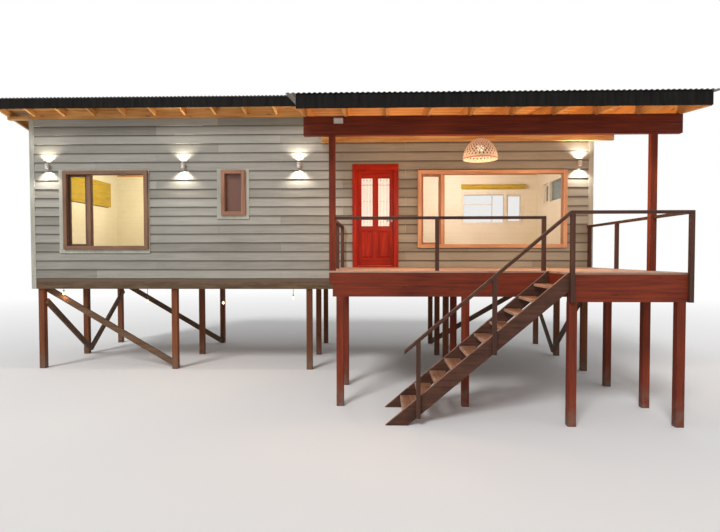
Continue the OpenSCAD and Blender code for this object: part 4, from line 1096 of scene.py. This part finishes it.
repeated(fin, fin_count, x=(flood_high[0] - flood_low[0] - 2 * fin_in - fin_t) / (fin_count - 1))
strap = [bar("strap", (flood_low[0] + 0.03, flood_high[1] - strap_t, flood_low[2] + 0.02),
             (flood_high[0] - 0.03, flood_high[1], flood_high[2] - 0.02))]
for x in (flood_low[0] + 0.032, flood_high[0] - 0.032):
    strap.append(bar("ear", (x - strap_t / 2, flood_high[1] - 0.012, flood_low[2] + 0.035),
                     (x + strap_t / 2, flood_high[1] - strap_t, flood_high[2] - 0.035)))
flood = settled(joined("floodlight_body", [flood, fin] + strap), lamp_paint)
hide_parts("floodlight")
pane_in = bezel + 0.0002
pane = bar("floodlight_glass", (flood_low[0] + pane_in, flood_low[1] + 0.0055, flood_bottom + pane_in),
           (flood_high[0] - pane_in, flood_low[1] + 0.0075, flood_top - pane_in))
pearl = speckled("pearl_glass", 30.0, (0.60, 0.58, 0.55), (0.74, 0.72, 0.70), {"Roughness": 0.25})
settled(eased(pane, 0.0008), pearl)

# Ground lamps: bare lit bulbs in turned sockets, each at the end of a rigid drop tube screwed up into the
# bearer over the front row of posts.
drops = ((-5.238, 1.600), (-3.430, 1.430), (-1.809, 1.400), (-0.323, 1.510))
drop_y = wall_y + 0.105
drop_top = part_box("floor_bearers")[0][2]
bulb = turned("bulb", [
    (0.004, -0.0300), (0.014, -0.0268), (0.0225, -0.0200), (0.0280, -0.0100), (0.0298, 0.0000),
    (0.0280, 0.0100), (0.0225, 0.0195), (0.0165, 0.0280), (0.0135, 0.0350), (0.0130, 0.0400)], 24)
socket = turned("socket", [
    (0.0110, 0.0365), (0.0140, 0.0365), (0.0140, 0.0430), (0.0128, 0.0440), (0.0128, 0.0600),
    (0.0105, 0.0670), (0.0060, 0.0700), (0.0050, 0.0720)], 20)
bulbs = []
sockets = []
for x, z in drops:
    bulbs.append(copied(bulb, x=x, y=drop_y, z=z))
    sockets.append(copied(socket, x=x, y=drop_y, z=z))
    sockets.append(moved(turned("drop", [
        (0.0048, z + 0.070), (0.0048, drop_top - 0.006), (0.012, drop_top - 0.0055), (0.012, drop_top)], 12),
        x, drop_y))
discard(bulb, socket)
lit_bulb = glowing("lit_bulb", (0.95, 0.85, 0.65), (1.0, 0.60, 0.27), 1.2, 120.0, 0.1)
bulbs = settled(joined("ground_bulbs", bulbs), lit_bulb, smooth=50)
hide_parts("ground_lamps")
black_cap = speckled("black_cap", 150.0, (0.012, 0.012, 0.012), (0.03, 0.03, 0.03), {}, rough=0.3, spread=0.3)
settled(joined("ground_lamp_sockets", sockets), black_cap, smooth=40)

# Deck boards: sawn boards with small gaps, laid along the front over the joists and screwed twice to
# each. They have weathered to a pinkish tan.
deck_low, deck_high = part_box("deck_floor")
deck_y0 = wall_y - 2.640
deck_rows = 18
landing_x0 = 4.125
landing_y0 = deck_low[1]
landing_rows = 7
deck_gap = 0.005
joist_in = 0.0525
deck_joists = 9
landing_joists = 4
joist_x0 = deck_low[0] + joist_in
joist_step = (deck_high[0] - deck_low[0] - 2 * joist_in) / (deck_joists - 1)
landing_step = (deck_high[0] - landing_x0 - 2 * joist_in) / (landing_joists - 1)
board_top = deck_high[2] - 0.0006
board_end = 0.001
deck_pitch = (deck_high[1] - deck_y0 + deck_gap) / deck_rows
landing_pitch = (deck_y0 - landing_y0) / landing_rows


def laid(x0, x1, y0, count, pitch, width):
    """A row of boards from x0 to x1, of this width, one pitch after another from y0"""
    board = bar("deck_board", (x0, y0, deck_low[2]), (x1, y0 + width, board_top))
    return repeated(eased(board, 0.003), count, y=pitch)


rows = []
for first, joint in ((0, joist_x0 + 5 * joist_step), (1, joist_x0 + 3 * joist_step)):
    for x0, x1 in ((deck_low[0], joint - board_end), (joint + board_end, deck_high[0])):
        rows.append(laid(x0, x1, deck_y0 + first * deck_pitch, deck_rows // 2, 2 * deck_pitch,
                         deck_pitch - deck_gap))
rows.append(laid(landing_x0, deck_high[0], landing_y0, landing_rows, landing_pitch, landing_pitch - deck_gap))
boards = joined("deck_boards", rows)

deck_finish, place = new_finish("deck_finish", {})
in_deck = place.part("Y").between(deck_y0 - 0.001, deck_y0)
deck_row = ((place.part("Y") - deck_y0) / deck_pitch).floor()
landing_row = ((place.part("Y") - landing_y0) / landing_pitch).floor() + 40
tone = place.of_board(deck_row * in_deck + landing_row * (1 - in_deck), place.part("X").between(3.2, 3.21))
long_grain = place.drawn("X", 1.3, 28)
fibre = long_grain.noise(1.0, 6, 0.65)
scuff = place.noise(1.7, 5, 0.6)
shade = fibre * 0.50 + tone * 0.22 + scuff * 0.28
colour = shade.ramp((0.36, (0.235, 0.125, 0.085)), (0.52, (0.40, 0.25, 0.175)), (0.70, (0.56, 0.40, 0.30)))
colour.coats(scuff * 0.3 + 0.45, fibre + long_grain.noise(6.0, 3) * 0.4, 0.0016)
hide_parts("deck_floor")
settled(boards, deck_finish)

screw_in = 0.025
screw_profile = [(0.0042, board_top - 0.001), (0.0042, board_top + 0.0002), (0.0030, board_top + 0.0005)]
heads = []
for y0, pitch, count, x0, joists, step in (
        (deck_y0, deck_pitch, deck_rows, joist_x0, deck_joists, joist_step),
        (landing_y0, landing_pitch, landing_rows, landing_x0 + joist_in, landing_joists, landing_step)):
    for across in (screw_in, pitch - deck_gap - screw_in):
        screw = moved(turned("screw", screw_profile, 8), x0, y0 + across)
        heads.append(repeated(repeated(screw, joists, x=step), count, y=pitch))
settled(joined("deck_screws", heads), hardware_zinc)

# Rails: planed timber with a very dark brown stain, the posts bolted to the rim and the top rails nailed
# down on them. The top rails have a painted highlight on faces that look up: a paler timber tone in patches.


def stain_with_painted_highlight(name, along, dark, light, highlight, amount):
    """A dark stain with a painted highlight on faces that look up: a paler tone in patches where light falls
    """
    material, place = new_finish(name, {"Specular IOR Level": 0.2})
    facing = Field(place.tree, place.socket.node.outputs["Normal"]).part("Z")
    fibre = place.grain(along, 1.3, 26)
    patch = place.noise(3.5, 4, 0.6)
    stain = (fibre * 0.65 + patch * 0.35).ramp((0.36, dark), (0.68, light))
    highlight_tone = fibre.ramp((0.36, tuple(c * 0.75 for c in highlight)), (0.68, highlight))
    # Painted highlight: faces that look up turn paler in patches.
    worn = facing.between(0.25, 0.6) * patch.between(0.25, 0.6) * amount
    worn.mix(stain, highlight_tone).coats(fibre * 0.25 + 0.42, fibre, 0.0014)
    return material


rail_dark, rail_light = (0.034, 0.015, 0.010), (0.100, 0.042, 0.027)
dress("rail_posts", timber("rail_post_stain", "Z", rail_dark, rail_light, roughness=0.6), 0.003)
dress("hand_rails", stain_with_painted_highlight("rail_stain", "X", rail_dark, rail_light, (0.36, 0.22, 0.15), 0.55), 0.004)

# Stair: two housed stringers with a dark stain and a painted highlight along their upper faces, and plank
# treads of reddish tan timber, scuffed at their front edges.
going = 0.2305
treads = 11
stair_foot = landing_x0 - treads * going
dress("stair_stringers", stain_with_painted_highlight("stringer_stain", "X", (0.040, 0.016, 0.010), (0.110, 0.045, 0.028),
                                    (0.46, 0.27, 0.20), 0.9), 0.003)
tread_finish, place = new_finish("tread_finish", {})
nosing = 1 - ((place.part("X") - stair_foot) / going).fraction().between(0.05, 0.22)
fibre = place.grain("Y", 1.3, 26)
scuff = place.noise(5.0, 4, 0.6)
colour = (fibre * 0.6 + scuff * 0.4).ramp((0.36, (0.20, 0.085, 0.045)), (0.68, (0.46, 0.235, 0.135)))
colour = (nosing * scuff.between(0.3, 0.6) * 0.7).mix(colour, (0.62, 0.42, 0.30))
colour.coats(scuff * 0.3 + 0.4, fibre, 0.0014)
dress("stair_treads", tread_finish, 0.004)

# Pendant: a dome woven from split cane in a diamond lattice, pale outside, with rosy binding round its rim
# and a capped neck. A turned holder with a large lit globe hangs in it, on a rod from a cup.
shade_low, shade_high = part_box("pendant_shade")
rim_up = 0.085
shade_r = (shade_high[0] - shade_low[0]) / 2
shade_foot = shade_low[2] + rim_up
shade_h = shade_high[2] - shade_foot
shade_x = (shade_high[0] + shade_low[0]) / 2
shade_y = (shade_high[1] + shade_low[1]) / 2
cane_t = 0.008
cane_w = 0.0105


def on_dome(share):
    """Radius and height of the shade's outline this far up its quarter ellipse, less half the cane"""
    angle = math.pi / 2 * share
    return ((shade_r - cane_t / 2) * math.cos(angle), (shade_h - cane_t / 2) * math.sin(angle))


weave = turned("weave", [on_dome(0.05 + 0.145 * ring) for ring in range(6)], 28, solid=False)
ring_verts = len(weave.data.vertices)
bpy.ops.object.mode_set(mode="EDIT")
bpy.ops.mesh.select_mode(type="FACE")
bpy.ops.mesh.select_all(action="SELECT")
bpy.ops.mesh.poke()
bpy.ops.mesh.select_mode(type="EDGE")
bpy.ops.mesh.select_all(action="DESELECT")
mesh = bmesh.from_edit_mesh(weave.data)
for edge in mesh.edges:
    edge.select_set(all(v.index < ring_verts for v in edge.verts) and not edge.is_boundary)
bmesh.update_edit_mesh(weave.data)
bpy.ops.mesh.dissolve_edges(use_verts=False)
bpy.ops.mesh.select_mode(type="FACE")
bpy.ops.mesh.select_all(action="SELECT")
bpy.ops.mesh.inset(thickness=cane_w, use_individual=True)
bpy.ops.mesh.delete(type="FACE")
bpy.ops.object.mode_set(mode="OBJECT")
modified(weave, "SOLIDIFY", thickness=cane_t, offset=0.0)
shade = [weave]
for name, shares in (("band", (0.0, 0.03, 0.064)), ("cap", (0.765, 0.80, 0.84, 0.88, 0.92, 0.945))):
    ring = turned(name, [on_dome(share) for share in shares], 56, solid=False)
    shade.append(eased(modified(ring, "SOLIDIFY", thickness=cane_t, offset=0.0), 0.002))
shade = moved(joined("woven_shade", shade), shade_x, shade_y, shade_foot)

# The cane's emission is a painted glow, standing for the bulb's light shining through it.
cane, place = new_finish("cane", {"Emission Strength": 0.30})
middle = (shade_x, shade_y, shade_foot)
from_middle = place.node("VectorMath", {"operation": "SUBTRACT"}, {0: place, 1: middle})
facing = Field(place.tree, place.socket.node.outputs["Normal"])
outward = place.node("VectorMath", {"operation": "DOT_PRODUCT"}, {0: from_middle, 1: facing}, 1)
outward = outward.between(-0.02, 0.02)
up_shade = place.part("Z") - shade_foot
fibre = place.noise(45.0, 5, 0.7)
pale = fibre.ramp((0.30, (0.56, 0.38, 0.24)), (0.65, (0.82, 0.66, 0.48)))
rosy = fibre.ramp((0.30, (0.42, 0.15, 0.09)), (0.65, (0.62, 0.30, 0.20)))
shaded = fibre.ramp((0.30, (0.045, 0.018, 0.010)), (0.65, (0.10, 0.045, 0.025)))
pale = (outward * (1 - up_shade.between(0.022, 0.026))).mix(pale, rosy)
# Painted light and shade: outer faces and the inside of the rim are lit and glow; the inside above the rim is
# painted dark as shade.
lit_side = outward.or_more(1 - up_shade.between(0.10, 0.13))
lit_side.mix(shaded, pale).coats(fibre * 0.3 + 0.4, fibre, 0.0015)
lit_side.mix((0.0, 0.0, 0.0), pale).feeds("Emission Color")
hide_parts("pendant_shade")
settled(shade, cane, smooth=40)

globe_drop = 0.170
glass_up = 0.054
globe_top = shade_high[2] - globe_drop + glass_up
fitting, place = new_finish("pendant_fitting", {"Emission Strength": 1.0})
lit = 1 - place.part("Z").between(globe_top, globe_top + 0.0005)
fibre = place.drawn("Z", 3, 30).noise(1.0, 4)
wood = fibre.ramp((0.3, (0.30, 0.17, 0.09)), (0.7, (0.48, 0.31, 0.18)))
lit.mix(wood, (0.9, 0.85, 0.72)).coats(fibre * 0.2 + 0.3)
lit.mix((0.0, 0.0, 0.0), (1.0, 0.88, 0.68)).feeds("Emission Color")
dress("pendant_lamp", fitting, 0.001)

# Light of the lamps: a soft one in each room, so that it can be seen into, two under the porch roof, one
# in the pendant and one below each ground bulb. Spots at the wall lamps light the wall above and below.


def lamp(name, spot, power, radius, colour, kind="POINT"):
    """A light that no pane or metal mirrors"""
    glow = bpy.data.objects.new(name, bpy.data.lights.new(name, kind))
    bpy.context.scene.collection.objects.link(glow)
    glow.location = spot
    glow.data.energy = power
    glow.data.shadow_soft_size = radius
    glow.data.color = colour
    glow.visible_glossy = False
    return glow


lamp("left_room", (-4.0, 1.6, 4.15), 120, 0.35, (0.98, 1.0, 0.76))
lamp("middle_room", (-0.4, 1.6, 4.15), 50, 0.35, (1.0, 0.90, 0.74))
lamp("right_room", (3.4, 1.4, 4.15), 122, 0.35, (0.97, 0.90, 0.89))
lamp("pendant", (shade_x, shade_y, shade_foot - 0.10), 4, 0.10, (1.0, 0.72, 0.45))
for name, x in (("porch_left", 1.9), ("porch_right", 4.6)):
    lamp(name, (x, wall_y - 1.9, 3.3), 95, 0.5, (1.0, 0.66, 0.36))
for number, (x, z) in enumerate(drops):
    lamp("ground_lamp_%d" % number, (x, drop_y, z - 0.06), 1.5, 0.03, (1.0, 0.58, 0.28))
for number, x in enumerate(lamp_xs):
    for way, side in (("down", -1), ("up", 1)):
        spot = (x, lamp_y - 0.01, lamp_z + side * (half_h + 0.02))
        glow = lamp("wall_lamp_%d_%s" % (number, way), spot, 34, 0.03, (1.0, 0.93, 0.82), "SPOT")
        glow.rotation_euler.x = math.pi if side > 0 else 0
        glow.data.spot_size = math.radians(125)
        glow.data.spot_blend = 0.6

# The stage: a pale paper floor that keeps the shadow and fades to white far away, a white surround that
# glass and metal mirror, and one soft sun, high and a little to the left of the camera.
bpy.ops.object.select_all(action="DESELECT")
bpy.ops.mesh.primitive_plane_add(size=90, location=(0, 0, -0.001))
floor = bake_place(bpy.context.object)
floor.name = "studio_floor"
paper, place = new_finish("studio_paper", {"Base Color": (0.82, 0.82, 0.82, 1), "Roughness": 0.9})
nodes = paper.node_tree.nodes
lit_paper = Field(place.tree, nodes["Principled BSDF"].outputs[0])
white = place.node("Emission", {}, {"Color": (1, 1, 1, 1), "Strength": 1.0})
seen = place.node("LightPath", {}, {}, "Is Camera Ray")
far = place.node("VectorMath", {"operation": "LENGTH"}, {0: place}, 1).between(9.0, 26.0)
blend = place.node("MixShader", {}, {0: far * seen, 1: lit_paper, 2: white})
place.tree.links.new(blend.socket, nodes["Material Output"].inputs["Surface"])
floor.data.materials.append(paper)

world = bpy.data.worlds.new("studio")
bpy.context.scene.world = world
world.use_nodes = True
tree = world.node_tree
rays = tree.nodes.new("ShaderNodeLightPath")
seen, mirrored, passed = (Field(tree, rays.outputs["Is %s Ray" % kind])
                          for kind in ("Camera", "Glossy", "Transmission"))
surround = 0.55
strength = seen.or_more(mirrored).or_more(passed) * (1 - surround) + surround
background = tree.nodes["Background"]
background.inputs["Color"].default_value = (1, 1, 1, 1)
tree.links.new(strength.socket, background.inputs["Strength"])

sun = bpy.data.objects.new("key", bpy.data.lights.new("key", "SUN"))
bpy.context.scene.collection.objects.link(sun)
sun.data.energy = 1.7
sun.data.angle = math.radians(16)
sun.rotation_euler = (math.radians(50), 0, math.radians(-24))

bpy.context.scene.view_settings.view_transform = "Standard"
